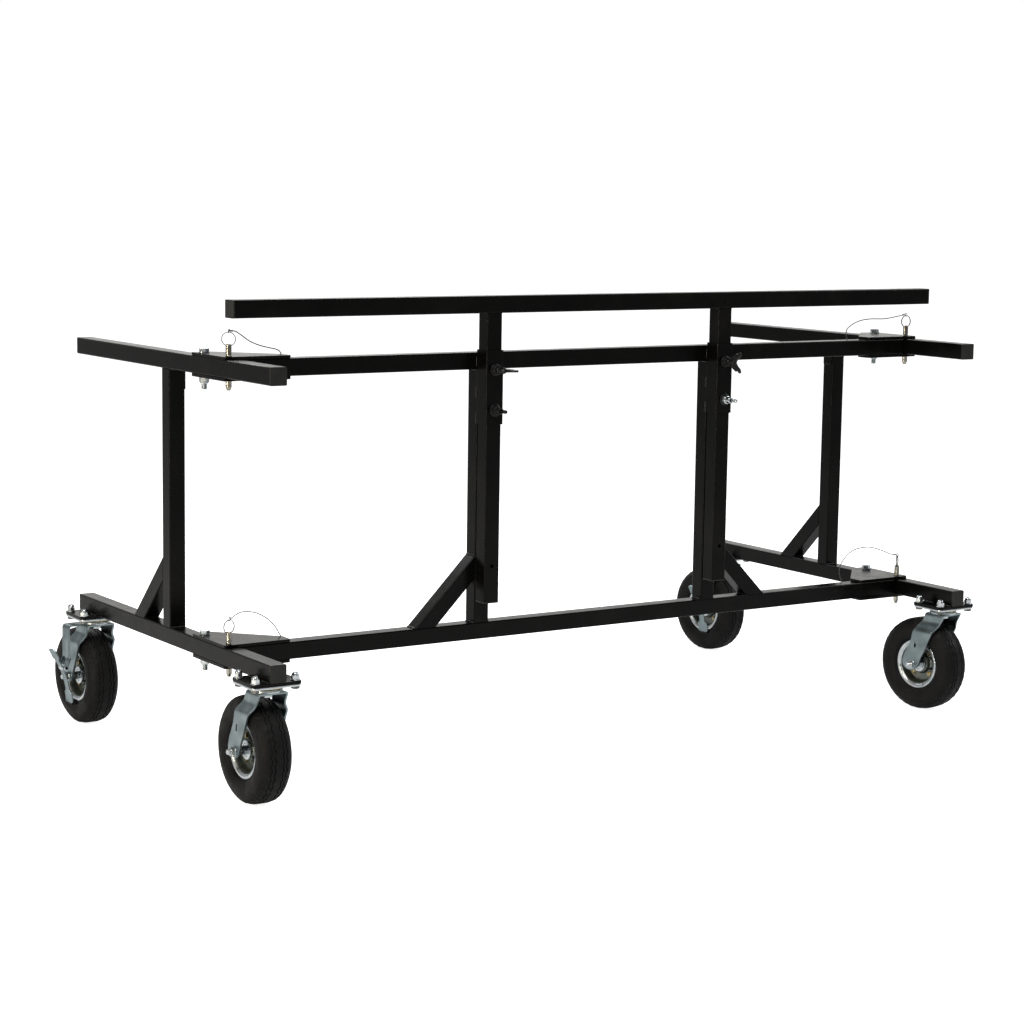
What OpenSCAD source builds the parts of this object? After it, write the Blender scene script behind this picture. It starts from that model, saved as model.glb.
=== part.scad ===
// Folding transport cart frame: a centre frame with a height-adjustable top rail,
// and two end frames on swivel casters that fold in behind it.
// +Z is up, X runs along the rails, and the lock-pin side faces -Y.

/* [Frame] */
// Overall length over the two end frames
frame_len = 1925; // [1800:5:2200]
// Depth of an end frame, front to back
frame_depth = 980; // [900:5:1100]
// How far an end frame reaches in front of the rails
front_reach = 206; // [180:1:240]
// Underside of the lower rail to underside of the middle rail
mid_rise = 610; // [560:5:700]
// Outside width over the two uprights
upright_span = 681; // [600:1:800]
// Front face of the rails to the front face of an end post
post_back = 270; // [250:1:320]
// Where a corner brace's outer side meets the tubes, from the corner
brace_leg = 154; // [130:1:180]

/* [Tube] */
// Side of the square tube
tube = 38.1; // [37:0.1:39]
// Wall of the square tube
wall = 2.1; // [1.6:0.1:2.4]
// Outer corner radius of the square tube
tube_r = 3; // [2.6:0.1:4]
// Thickness of an end cap's flange
cap_t = 3; // [2:0.5:4]

/* [Hinge brackets] */
// Thickness of a hinge plate
plate_t = 6.5; // [5:0.5:8]
// Length of a hinge plate along the rail
plate_len = 157; // [150:1:165]
// Depth of a hinge plate behind the rail's front face
plate_deep = 160; // [155:1:170]
// Hinge bolt behind the rail's front face
hinge_y = 135; // [130:1:138]
// Diameter of the hinge bolt and of the lock pin
pin_d = 12.7; // [12:0.1:13]

/* [Lift rail] */
// Underside of the lower rail to underside of the top rail, as set
top_rise = 736.5; // [700:0.5:760]
// Underside of the lower rail to the leg's lower end, as set
leg_foot = 88; // [60:1:120]
// Outer side of the guide sleeve
sleeve_w = 44.45; // [44.2:0.05:45]
// Wall of the guide sleeve
sleeve_wall = 3.05; // [3:0.01:3.1]
// Lower end of the sleeve above the lower rail's underside
sleeve_z = 490; // [470:1:500]
// Length of the sleeve
sleeve_len = 165; // [160:1:170]

/* [Casters] */
// Wheel diameter
wheel_d = 231; // [226:1:232]
// Tyre width
tyre_w = 75; // [70:1:76]
// Distance from the kingpin's axis to the axle's axis
lead = 56; // [52:1:60]
// Overall height of a caster, floor to the top of its plate
caster_h = 268.5; // [268:0.5:272]
// Thickness of the plate welded under the tube
pad_t = 6.5; // [6:0.5:8]
// Turn of the front left, front right, rear left and rear right caster
swivel = [0, 8, 2, 5]; // [-30:1:30]

/* [Hidden] */

// colours
black = [0.06, 0.06, 0.065];
zinc = [0.72, 0.74, 0.76];
gold = [0.78, 0.66, 0.42];
rubber = [0.09, 0.09, 0.09];
wire = [0.6, 0.6, 0.6];

// the middle of the overall box, from the rails' front left corner
box_mid_x = 935.7;
box_mid_y = 339.6;
deck = caster_h + pad_t;
half = tube / 2;
rear = frame_depth - front_reach;
rail_gap = 4;
rail_x0 = tube + rail_gap;
left_upright = (frame_len - upright_span) / 2;
right_upright = left_upright + upright_span - tube;
uprights_x = [left_upright + half, right_upright + half];
eps = 1;

// fits
pin_r = pin_d / 2;
run_gap = 0.06;

// hinge bracket: plate corners from the outer front corner, and the back edge's width
plate_back = 45;
plate_corner = 5;
collar_r = 7.6;
collar_t = 1.2;
pin_up = 70;
pin_down = 27;
ring_r = 14.5;
ring_wire = 1.1;
ring_z = pin_up - 4 + ring_r;
ring_turn = [15, -33, -39, 0];

// lift rail
leg_y = -sleeve_w / 2;
leg_front = leg_y - half;
lock_z = 522;
lock_step = 40;
stop_z = 172;
lock_hole_r = 4.3;
knob_z = 612;
stud_r = 4.9;
knob_turn = [90, 0];
nose_r = 4;
barrel_len = 26;

// caster
kingpin_in = 50.8;
plate_x = 114.3;
plate_y = 101.6;
bolt_x = 92;
bolt_y = 76;
bolt_r = 5;
top_plate_t = 5;
race_r = 36;
race_t = 6;
race_gap = 0.5;
crown_t = 5;
crown_ring = 6;
kingpin_r = 8;
fork_half = 47;
fork_t = 4.5;
axle_r = 6;
axle_fit = 0.03;
wheel_r = wheel_d / 2;
rim_r = 61;
plate_low = caster_h - top_plate_t;
crown_top = plate_low - race_t - race_gap - crown_ring;
crown_r = 33;
neck_half = 35;
flare_high = 225;
flare_low = 206;
fork_front = [[-31, 252], [-25, 238], [-13, 217], [0, 194], [11, 170], [21, 150], [29, 134],
    [34, 120], [41, 109], [53, 101]];
fork_back = [[61, 100.5], [75, 104], [84, 114], [84.5, 126], [78, 145], [68, 163], [60.5, 180],
    [57, 196], [51, 210], [42, 222], [32, 236], [27, 252]];
brake_y = 14;
lever_w = 20;
pad_w = 36;
pivot = [-78, 148];
pivot_r = 4;
lever_line = [[-108, 192], [-89, 169], [-83, 152], [-70, 112], [-66, 90], [-59, 62]];

// lanyard routes: distance in from the end frame's outer face, depth behind the
// rail's front face, height above the tube's underside
lanyard_d = 2.4;
lanyard_sides = 8;
lanyard_rings = 20;
screw_in = 172;
screw_up = 24;
route_lb = [[24, 19, 98], [36, 20, 105], [50, 22, 109], [67, 25, 108], [88, 29, 103], [115, 34, 89],
    [138, 40, 69], [152, 45, 50], [160, 45, 38], [166, 41.6, 30.5], [169.5, 40.9, 26.3]];
route_lt = [[24, 19, 98], [36, 20, 96], [50, 22, 88], [71, 26, 75], [97, 32, 65], [122, 38, 59],
    [141, 43, 55], [152, 45, 50], [160, 45, 38], [166, 41.6, 30.5], [169.5, 40.9, 26.3]];
route_rb = [[24, 19, 98], [42, 21, 101], [70, 24, 112], [108, 28, 122], [146, 33, 119], [170, 37, 106],
    [185, 42, 85], [189, 45, 67], [185, 45, 48], [178.5, 41.5, 33], [174.5, 40.9, 26.3]];
route_rt = [[24, 19, 98], [50, 21, 93], [87, 25, 88], [125, 31, 88], [155, 36, 84], [178, 41, 74],
    [191, 45, 61], [191, 45, 45], [184, 43, 35], [178.5, 41.1, 30], [174.5, 40.9, 26.3]];

// ---------- placing ----------

// Everything is drawn from the rails' front left corner, with the lower rail's
// underside at zero, and moved to the part's own origin here.
module placed() {
    translate([-box_mid_x, -box_mid_y, deck]) children();
}

// Left end as drawn, or the same thing mirrored to the right end
module at_end(right) {
    if (right) {
        translate([frame_len, 0, 0]) mirror([1, 0, 0]) children();
    } else {
        children();
    }
}

// ---------- shapes ----------

// Square with rounded corners, centred
module round_square(w, d, r) {
    square([w - 2 * r, d], center = true);
    square([w, d - 2 * r], center = true);
    for (x = [-1, 1], y = [-1, 1]) {
        translate([x * (w / 2 - r), y * (d / 2 - r)]) circle(r, $fn = 24);
    }
}

// Cross-section of a hollow square tube
module tube_section(w, t, r) {
    difference() {
        round_square(w, w, r);
        round_square(w - 2 * t, w - 2 * t, max(r - t, 0.8));
    }
}

module tube_x(x0, x1, y, z) {
    translate([x0, y, z]) rotate([90, 0, 90]) linear_extrude(x1 - x0) tube_section(tube, wall, tube_r);
}

module tube_y(y0, y1, x, z) {
    translate([x, y1, z]) rotate([90, 0, 0]) linear_extrude(y1 - y0) tube_section(tube, wall, tube_r);
}

module tube_z(z0, z1, x, y) {
    translate([x, y, z0]) linear_extrude(z1 - z0) tube_section(tube, wall, tube_r);
}

// Two discs joined by their common tangents, such as a lever's outline
module link(a, ra, b, rb) {
    d = norm(b - a);
    along = (b - a) / d;
    side = [-along[1], along[0]];
    lean = (ra - rb) / d;
    cross_lean = sqrt(1 - lean * lean);
    up = along * lean + side * cross_lean;
    down = along * lean - side * cross_lean;
    translate(a) circle(ra, $fn = 48);
    translate(b) circle(rb, $fn = 48);
    polygon([a + up * ra, b + up * rb, b + down * rb, a + down * ra]);
}

// A corner's arc, as points, between the directions of its two sides
function corner_arc(p, q, r, radius) =
    let (to_p = (p - q) / norm(p - q), to_r = (r - q) / norm(r - q),
        half_angle = acos(to_p * to_r) / 2,
        bisector = (to_p + to_r) / norm(to_p + to_r),
        centre = q + bisector * radius / sin(half_angle),
        from = q + to_p * radius / tan(half_angle) - centre,
        to = q + to_r * radius / tan(half_angle) - centre)
    [for (t = [0:0.25:1]) let (v = from * (1 - t) + to * t) centre + v / norm(v) * radius];

// A polygon's points with each corner rounded
function rounded(points, radius) =
    let (n = len(points))
    [for (i = [0:n - 1])
        each corner_arc(points[(i + n - 1) % n], points[i], points[(i + 1) % n], radius)];

// Smooth curve through a list of points, at a place from 0 to 1
function curve_at(p, s) =
    let (n = len(p) - 1, f = min(s * n, n - 0.000001), i = floor(f), t = f - i,
        a = p[max(i - 1, 0)], b = p[i], c = p[i + 1], d = p[min(i + 2, n)])
    0.5 * (2 * b + (c - a) * t + (2 * a - 5 * b + 4 * c - d) * t * t
        + (3 * b - a - 3 * c + d) * t * t * t);

// Round cord along a curve that stays clear of the Y direction
module cord(points, d, rings, sides) {
    centres = [for (i = [0:rings - 1]) curve_at(points, i / (rings - 1))];
    section = [
        for (i = [0:rings - 1])
            let (dir = centres[min(i + 1, rings - 1)] - centres[max(i - 1, 0)],
                u = cross(dir, [0, 1, 0]) / norm(cross(dir, [0, 1, 0])),
                v = cross(dir, u) / norm(cross(dir, u)))
            [for (k = [0:sides - 1]) centres[i] + (u * cos(360 * k / sides) + v * sin(360 * k / sides)) * d / 2]
    ];
    skin = [
        for (i = [0:rings - 2], k = [0:sides - 1])
            let (m = (k + 1) % sides)
            [i * sides + k, i * sides + m, (i + 1) * sides + m, (i + 1) * sides + k]
    ];
    first = [for (k = [0:sides - 1]) sides - 1 - k];
    last = [for (k = [0:sides - 1]) (rings - 1) * sides + k];
    polyhedron([for (s = section) each s], concat([first], skin, [last]));
}

// Cylinder along Y from y0 to y1
module rod_y(x, y0, y1, z, r) {
    translate([x, y1, z]) rotate([90, 0, 0]) cylinder(h = y1 - y0, r = r, $fn = 48);
}

module hex(af, h) {
    linear_extrude(h) circle(af / sqrt(3), $fn = 6);
}

// ---------- centre frame ----------

module lower_rail() {
    color(black) placed() tube_x(rail_x0, frame_len - rail_x0, half, half);
}

module mid_rail() {
    color(black) placed() tube_x(rail_x0, frame_len - rail_x0, half, mid_rise + half);
}

module uprights() {
    color(black) placed()
        for (x = uprights_x) tube_z(tube, mid_rise, x, half);
}

// Brace across a corner at the origin, between +X and +Z, mitred to both tubes
module corner_brace() {
    mid = brace_leg - tube / sqrt(2);
    intersection() {
        translate([mid / 2, half, mid / 2]) rotate([0, 45, 0]) rotate([90, 0, 90])
            linear_extrude(2 * brace_leg, center = true) tube_section(tube, wall, tube_r);
        translate([0, -eps, 0]) cube([brace_leg, tube + 2 * eps, brace_leg]);
    }
}

module braces() {
    color(black) placed() {
        translate([left_upright, 0, tube]) mirror([1, 0, 0]) corner_brace();
        translate([right_upright + tube, 0, tube]) corner_brace();
    }
}

// One hinge plate, lying flat, from the end frame's outer front corner
module hinge_plate() {
    outline = [[0, 0], [plate_len, 0], [plate_len, tube], [plate_back, plate_deep], [0, plate_deep]];
    linear_extrude(plate_t) difference() {
        polygon(rounded(outline, plate_corner));
        translate([half, hinge_y]) circle(pin_r + run_gap, $fn = 48);
        translate([half, half]) circle(pin_r + run_gap, $fn = 48);
    }
}

module bracket_set(z) {
    for (right = [false, true], up = [-plate_t, tube]) {
        at_end(right) translate([0, 0, z + up]) hinge_plate();
    }
}

module brackets_lower() {
    color(black) placed() bracket_set(0);
}

module brackets_upper() {
    color(black) placed() bracket_set(mid_rise);
}

// Guide sleeves on the uprights' front faces, drilled for the knob and the plunger
module sleeves() {
    color(black) placed()
        for (x = uprights_x) difference() {
            translate([x, leg_y, sleeve_z]) linear_extrude(sleeve_len)
                tube_section(sleeve_w, sleeve_wall, tube_r + 0.5);
            rod_y(x, -sleeve_w - eps, leg_y, knob_z, stud_r + run_gap);
            rod_y(x, -sleeve_w - eps, leg_y, lock_z, nose_r + run_gap);
        }
}

// Round threaded bosses for the clamping knobs
module knob_bosses() {
    color(black) placed()
        for (x = uprights_x) difference() {
            union() {
                rod_y(x, -sleeve_w - 3, -sleeve_w, knob_z, 13);
                rod_y(x, -sleeve_w - 12, -sleeve_w, knob_z, 11);
            }
            rod_y(x, -sleeve_w - 13, -sleeve_w + eps, knob_z, stud_r + run_gap);
        }
}

// Spring plunger barrels: a flange on the sleeve and a stepped barrel
module plunger_barrels() {
    color(zinc) placed()
        for (x = uprights_x) difference() {
            union() {
                rod_y(x, -sleeve_w - 3, -sleeve_w, lock_z, 14);
                rod_y(x, -sleeve_w - 12, -sleeve_w - 3, lock_z, 9.5);
                rod_y(x, -sleeve_w - barrel_len, -sleeve_w - 12, lock_z, 7.5);
            }
            rod_y(x, -sleeve_w - barrel_len - eps, -sleeve_w + eps, lock_z, nose_r + run_gap);
        }
}

// Hinge bolts with washers and locknuts, through both plates and the end tube
module hinge_bolt(z) {
    low = z - plate_t;
    high = z + tube + plate_t;
    translate([half, hinge_y, 0]) {
        translate([0, 0, low - 27]) cylinder(h = high - low + 27 + eps, r = pin_r, $fn = 48);
        translate([0, 0, high]) cylinder(h = 2, r = 12, $fn = 48);
        translate([0, 0, high + 2]) hex(19, 8);
    }
}

module hinge_nut(z) {
    low = z - plate_t;
    translate([half, hinge_y, 0]) difference() {
        union() {
            translate([0, 0, low - 2]) cylinder(h = 2, r = 12, $fn = 48);
            translate([0, 0, low - 13]) hex(19, 11);
        }
        translate([0, 0, low - 14]) cylinder(h = 16, r = pin_r, $fn = 48);
    }
}

module hinge_bolts() {
    color(zinc) placed()
        for (right = [false, true], z = [0, mid_rise]) at_end(right) {
            hinge_bolt(z);
            hinge_nut(z);
        }
}

// Pan-head screws that hold the lanyards to the back of the rails
module lanyard_screws() {
    color(zinc) placed()
        for (right = [false, true], z = [0, mid_rise]) at_end(right) {
            rod_y(screw_in, tube, tube + 1.2, z + screw_up, 5.5);
            rod_y(screw_in, tube + 1.2 + lanyard_d + 0.6, tube + 1.2 + lanyard_d + 3, z + screw_up, 4.5);
            rod_y(screw_in, tube + 0.2, tube + 1.2 + lanyard_d + 1.6, z + screw_up, 2);
        }
}

// ---------- lift rail ----------

module top_rail() {
    color(black) placed() tube_x(cap_t, frame_len - cap_t, leg_y, top_rise + half);
}

// Legs, drilled in the front wall for the plunger: three settings and a top stop
module legs() {
    color(black) placed()
        for (x = uprights_x) difference() {
            tube_z(leg_foot + cap_t, top_rise, x, leg_y);
            for (z = [lock_z, lock_z + lock_step, lock_z + 2 * lock_step, stop_z]) {
                rod_y(x, leg_front - eps, leg_y, z, lock_hole_r);
            }
        }
}

// End cap with its flange at zero and its plug going up into the tube
module end_cap() {
    plug = tube - 2 * wall - 0.4;
    linear_extrude(cap_t) round_square(tube, tube, tube_r);
    translate([0, 0, cap_t - 0.5]) linear_extrude(14.5) tube_section(plug, 2, 1.5);
}

module lift_caps() {
    color(black) placed() {
        for (right = [false, true]) {
            at_end(right) translate([0, leg_y, top_rise + half]) rotate([90, 0, 90]) end_cap();
        }
        for (x = uprights_x) translate([x, leg_y, leg_foot]) end_cap();
    }
}

// ---------- end frames ----------

// Horizontal tube with a welded-in hinge bushing and a lock-pin tube
module end_tube(z) {
    difference() {
        union() {
            tube_y(cap_t - front_reach, rear - cap_t, half, z + half);
            for (y = [half, hinge_y]) {
                translate([half, y, z + 0.5]) cylinder(h = tube - 1, r = 10, $fn = 48);
            }
        }
        for (y = [half, hinge_y]) {
            translate([half, y, z - eps]) cylinder(h = tube + 2 * eps, r = pin_r + run_gap, $fn = 48);
        }
    }
}

// Post with the small stop pad welded to its inner side at the top
module end_post() {
    pad_w = 30;
    pad_h = 46;
    pad_t = 3.2;
    tube_z(tube, mid_rise, half, post_back + half);
    difference() {
        translate([tube - 0.4, post_back + half - pad_w / 2, mid_rise - pad_h])
            cube([pad_t + 0.4, pad_w, pad_h]);
        translate([tube + pad_t, 0, mid_rise - pad_h]) rotate([0, 45, 0])
            cube([2, frame_depth, 2], center = true);
    }
}

module foot_brace() {
    translate([tube, post_back + tube, tube]) rotate([0, 0, 90]) corner_brace();
}

module end_caps() {
    for (z = [0, mid_rise]) {
        translate([half, -front_reach, z + half]) rotate([-90, 0, 0]) end_cap();
        translate([half, rear, z + half]) rotate([90, 0, 0]) end_cap();
    }
}

// ---------- casters ----------

// Drawn from the kingpin's foot on the floor, with the wheel trailing towards +Y
module at_caster(right, back) {
    y = back ? rear - kingpin_in : kingpin_in - front_reach;
    translate([right ? frame_len - half : half, y, -deck]) children();
}

module turned(right, back) {
    at_caster(right, back) rotate([0, 0, swivel[(back ? 2 : 0) + (right ? 1 : 0)]]) children();
}

module bolt_places() {
    for (x = [-1, 1], y = [-1, 1]) translate([x * bolt_x / 2, y * bolt_y / 2, 0]) children();
}

// Plate with rounded corners and the four bolt holes
module plate_blank(t, r) {
    linear_extrude(t) difference() {
        round_square(plate_x, plate_y, r);
        bolt_places() circle(bolt_r + 0.3, $fn = 32);
    }
}

module caster_pad() {
    translate([0, 0, caster_h]) plate_blank(pad_t, 9);
}

// Caster top plate with its race and the riveted kingpin
module caster_plate() {
    translate([0, 0, plate_low]) plate_blank(top_plate_t, 12);
    translate([0, 0, plate_low - race_t]) cylinder(h = race_t + eps, r = race_r, $fn = 64);
    kingpin_foot = crown_top - crown_t - 9;
    translate([0, 0, kingpin_foot]) cylinder(h = plate_low - kingpin_foot, r = kingpin_r, $fn = 48);
    translate([0, 0, kingpin_foot]) cylinder(h = 8.5, r = 14, $fn = 48);
}

// Plate bolts: head below, washer and locknut on top
module caster_bolt() {
    translate([0, 0, plate_low - 6.4]) hex(16, 6.4);
    translate([0, 0, plate_low - 1]) cylinder(h = caster_h + pad_t - plate_low + 14, r = bolt_r, $fn = 32);
    difference() {
        union() {
            translate([0, 0, deck]) cylinder(h = 2, r = 10, $fn = 32);
            translate([0, 0, deck + 2]) hex(16, 8);
            translate([0, 0, deck + 10]) cylinder(h = 4, r = 7.6, $fn = 32);
            translate([0, 0, deck + 14]) cylinder(h = 3, r1 = 7.6, r2 = 5.5, $fn = 32);
        }
        translate([0, 0, deck - eps]) cylinder(h = 14.5, r = bolt_r, $fn = 32);
    }
}

// Inverted-U fork: its section across the wheel, narrow at the crown and flared to
// the tyre's width, cut to its outline from the side
module fork_section() {
    fold = fork_t * tan(atan((fork_half - neck_half) / (flare_high - flare_low)) / 2);
    leg = fork_half - fork_t;
    neck = neck_half - fork_t;
    foot = 80;
    difference() {
        polygon(rounded([[-fork_half, foot], [-fork_half, flare_low], [-neck_half, flare_high],
            [-neck_half, crown_top], [neck_half, crown_top], [neck_half, flare_high],
            [fork_half, flare_low], [fork_half, foot]], 7));
        polygon(rounded([[-leg, foot - 20], [-leg, flare_low - fold], [-neck, flare_high - fold],
            [-neck, crown_top - crown_t], [neck, crown_top - crown_t], [neck, flare_high - fold],
            [leg, flare_low - fold], [leg, foot - 20]], 3));
    }
}

// The fork from the side: a swept-back leg with a broad foot round the axle
module fork_outline() {
    front = [for (i = [0:14]) curve_at(fork_front, i / 14)];
    back = [for (i = [0:14]) curve_at(fork_back, i / 14)];
    polygon(concat(front, back));
}

module fork_body() {
    difference() {
        union() {
            intersection() {
                translate([0, 100, 0]) rotate([90, 0, 0]) linear_extrude(200) fork_section();
                translate([-60, 0, 0]) rotate([90, 0, 90]) linear_extrude(120) fork_outline();
            }
            translate([0, 0, crown_top - 2]) cylinder(h = crown_ring + 2, r = crown_r, $fn = 64);
        }
        translate([0, 0, crown_top - 20]) cylinder(h = 40, r = kingpin_r + run_gap, $fn = 48);
        translate([-60, lead, wheel_r]) rotate([0, 90, 0]) cylinder(h = 120, r = axle_r + axle_fit, $fn = 48);
    }
}

// Axle bolt, with its head outside the right leg and its nut outside the left one
module axle(right, back) {
    color(zinc) placed() turned(right, back) translate([0, lead, wheel_r]) rotate([0, 90, 0]) {
        translate([0, 0, -fork_half - 17]) cylinder(h = 2 * fork_half + 17 + eps, r = axle_r, $fn = 48);
        translate([0, 0, fork_half]) hex(18, 7.5);
        translate([0, 0, -fork_half - 10]) hex(18, 10);
    }
}

// Unit vector square to the step from one point of a line to the next
function square_to(points, i) =
    let (n = len(points) - 1, k = max(0, min(i, n - 1)), step = points[k + 1] - points[k])
    [-step[1], step[0]] / norm(step);

// Bent strip of sheet, drawn about its middle line with mitred bends
module strip(points, t) {
    n = len(points) - 1;
    mitre = [for (i = [0:n])
        let (a = square_to(points, i - 1), b = square_to(points, i)) (a + b) / (1 + a * b) * t / 2];
    polygon(concat([for (i = [0:n]) points[i] + mitre[i]], [for (i = [n:-1:0]) points[i] - mitre[i]]));
}

// Strap that reaches out from the fork's crown and down to the brake lever's ears
module brake_strap() {
    t = 4;
    ear_t = 3;
    out = pivot[0] + 8;
    drop = pivot[1] + 16;
    ear_y = lever_w / 2 + 0.5;
    translate([0, brake_y + 18, 0]) rotate([90, 0, 0]) linear_extrude(36)
        strip([[-28, crown_top - 3], [out + 3, crown_top - 3], [out, crown_top - 6], [out, drop]], t);
    for (y = [brake_y - ear_y - ear_t, brake_y + ear_y]) {
        translate([0, y + ear_t, 0]) rotate([90, 0, 0]) linear_extrude(ear_t)
            link([out, drop + 2], 6.5, pivot, 7);
    }
    rod_y(pivot[0], brake_y - ear_y - ear_t - 1.5, brake_y + ear_y + ear_t + 1.5, pivot[1], pivot_r);
}

module fork(right, back) {
    color(zinc) placed() turned(right, back) {
        fork_body();
        if (back) brake_strap();
    }
}

// Rocker lever: two pads, a bent arm and a shoe that meets the tyre's side
module brake(right) {
    t = 4;
    color(zinc) placed() turned(right, true) difference() {
        union() {
            translate([0, brake_y + lever_w / 2, 0]) rotate([90, 0, 0]) linear_extrude(lever_w) {
                strip(lever_line, t);
                translate(pivot) circle(8, $fn = 48);
            }
            translate([0, brake_y + pad_w / 2, 0]) rotate([90, 0, 0]) linear_extrude(pad_w) {
                strip([lever_line[0], lever_line[1]], t + 1);
                strip([lever_line[4], lever_line[5]], t + 1);
            }
            translate([-62, brake_y - 9, 56]) cube([16, 18, 12]);
        }
        rod_y(pivot[0], brake_y - lever_w, brake_y + lever_w, pivot[1], pivot_r + run_gap);
    }
}

// Stamped rim, hub and bearings, turned about the axle
module rim(right, back) {
    hub_half = fork_half - fork_t - 0.5;
    color(zinc) placed() turned(right, back) translate([0, lead, wheel_r]) rotate([0, 90, 0])
        rotate_extrude($fn = 96) {
            translate([axle_r + run_gap, -hub_half]) square([10, 2 * hub_half]);
            translate([12, -18]) square([8, 36]);
            translate([18, -4]) square([30, 8]);
            translate([45, -27]) square([4, 54]);
            for (y = [-28, 25]) translate([45, y]) square([rim_r - 45, 3]);
        }
}

// Tyre: a hollow round-shouldered section with four tread grooves
module tyre_profile() {
    bead = 26;
    shoulder = tyre_w / 2;
    tread = 25;
    polygon([[49.3, -24.5], [61.2, -24.5], [61.4, -bead], [63, -29], [72, -shoulder + 2],
        [80, -shoulder + 0.3], [88, -shoulder], [96, -shoulder + 1.2], [104, -shoulder + 5],
        [109, -shoulder + 8.5], [112, -tread], [wheel_r, -14], [wheel_r, 14], [112, tread],
        [109, shoulder - 8.5], [104, shoulder - 5], [96, shoulder - 1.2], [88, shoulder],
        [80, shoulder - 0.3], [72, shoulder - 2], [63, 29], [61.4, bead], [61.2, 24.5], [49.3, 24.5]]);
}

module tyre(right, back) {
    color(rubber) placed() turned(right, back) translate([0, lead, wheel_r]) rotate([0, 90, 0])
        rotate_extrude($fn = 96) difference() {
            tyre_profile();
            polygon([[60, -19], [70, -26], [88, -27], [99, -20], [103, -9], [103, 9], [99, 20],
                [88, 27], [70, 26], [60, 19]]);
            translate([48, -17]) square([20, 34]);
            for (y = [-21, -8, 8, 21]) {
                translate([wheel_r + 0.5 - (abs(y) > 10 ? 2 : 0), y]) rotate(45) square(4.2, center = true);
            }
        }
}

module caster_set(right) {
    for (back = [false, true]) at_caster(right, back) children();
}

// ---------- small moving pieces ----------

// Lock pin with its collar and split ring, turned about the pin's axis
module lock_pin(right, z, turn) {
    color(zinc) placed() at_end(right) translate([half, half, z]) rotate([0, 0, turn]) {
        difference() {
            union() {
                translate([0, 0, -pin_down]) cylinder(h = pin_down + pin_up - 1.5, r = pin_r, $fn = 48);
                translate([0, 0, pin_up - 1.5]) cylinder(h = 1.5, r1 = pin_r, r2 = pin_r - 1.5, $fn = 48);
                translate([0, 0, tube + plate_t]) cylinder(h = collar_t, r = collar_r, $fn = 48);
            }
            translate([-10, 0, pin_up - 3.3]) rotate([0, 90, 0]) cylinder(h = 20, r = 2.3, $fn = 32);
        }
        translate([0, 0, ring_z]) rotate([90, 0, 0]) rotate_extrude($fn = 64)
            translate([ring_r, 0]) circle(ring_wire, $fn = 16);
    }
}

module lanyard(right, z, route) {
    color(wire) placed() at_end(right) translate([0, 0, z])
        cord(route, lanyard_d, lanyard_rings, lanyard_sides);
}

// Wing knob on a threaded stud that presses on the leg
module knob(i) {
    hub_y = -sleeve_w - 21;
    color(black) placed() translate([uprights_x[i], 0, knob_z]) rotate([0, knob_turn[i], 0]) {
        rod_y(0, hub_y - eps, leg_front - 0.2, 0, stud_r);
        rod_y(0, hub_y - 16, hub_y, 0, 7.5);
        for (up = [0, 180]) {
            rotate([0, up, 0]) translate([-4, 0, 0]) rotate([90, 0, 90]) linear_extrude(8)
                link([hub_y - 9, 3], 5.5, [hub_y - 35, 20], 4);
        }
    }
}

// Plunger pin with its stem and pull head, drawn pulled clear of the leg
module plunger(i) {
    seat = -sleeve_w - barrel_len;
    color(zinc) placed() translate([uprights_x[i], 0, lock_z]) {
        rod_y(0, seat + 4, leg_front - 0.4, 0, nose_r);
        rod_y(0, seat - 12, seat + 4 + eps, 0, 2.5);
        rod_y(0, seat - 20, seat - 11, 0, 4);
        translate([0, seat - 20, 0]) rotate([90, 0, 0]) cylinder(h = 1.5, r1 = 4, r2 = 2.5, $fn = 48);
    }
}

// ---------- assembly ----------

lower_rail();
mid_rail();
uprights();
braces();
brackets_lower();
brackets_upper();
sleeves();
knob_bosses();
plunger_barrels();
hinge_bolts();
lanyard_screws();

top_rail();
legs();
lift_caps();

color(black) placed() end_tube(0);  // end_bottom_l
color(black) placed() end_tube(mid_rise);  // end_top_l
color(black) placed() end_post();  // post_l
color(black) placed() foot_brace();  // foot_brace_l
color(black) placed() end_caps();  // end_caps_l
color(black) placed() caster_set(false) caster_pad();  // caster_pads_l
color(zinc) placed() caster_set(false) caster_plate();  // caster_plates_l
color(zinc) placed() caster_set(false) bolt_places() caster_bolt();  // caster_bolts_l

color(black) placed() at_end(true) end_tube(0);  // end_bottom_r
color(black) placed() at_end(true) end_tube(mid_rise);  // end_top_r
color(black) placed() at_end(true) end_post();  // post_r
color(black) placed() at_end(true) foot_brace();  // foot_brace_r
color(black) placed() at_end(true) end_caps();  // end_caps_r
color(black) placed() caster_set(true) caster_pad();  // caster_pads_r
color(zinc) placed() caster_set(true) caster_plate();  // caster_plates_r
color(zinc) placed() caster_set(true) bolt_places() caster_bolt();  // caster_bolts_r

lock_pin(false, 0, ring_turn[0]);  // lock_pin_lb
lock_pin(false, mid_rise, ring_turn[1]);  // lock_pin_lt
lock_pin(true, 0, ring_turn[2]);  // lock_pin_rb
lock_pin(true, mid_rise, ring_turn[3]);  // lock_pin_rt
lanyard(false, 0, route_lb);  // lanyard_lb
lanyard(false, mid_rise, route_lt);  // lanyard_lt
lanyard(true, 0, route_rb);  // lanyard_rb
lanyard(true, mid_rise, route_rt);  // lanyard_rt
knob(0);  // knob_l
knob(1);  // knob_r
plunger(0);  // plunger_l
plunger(1);  // plunger_r

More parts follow.
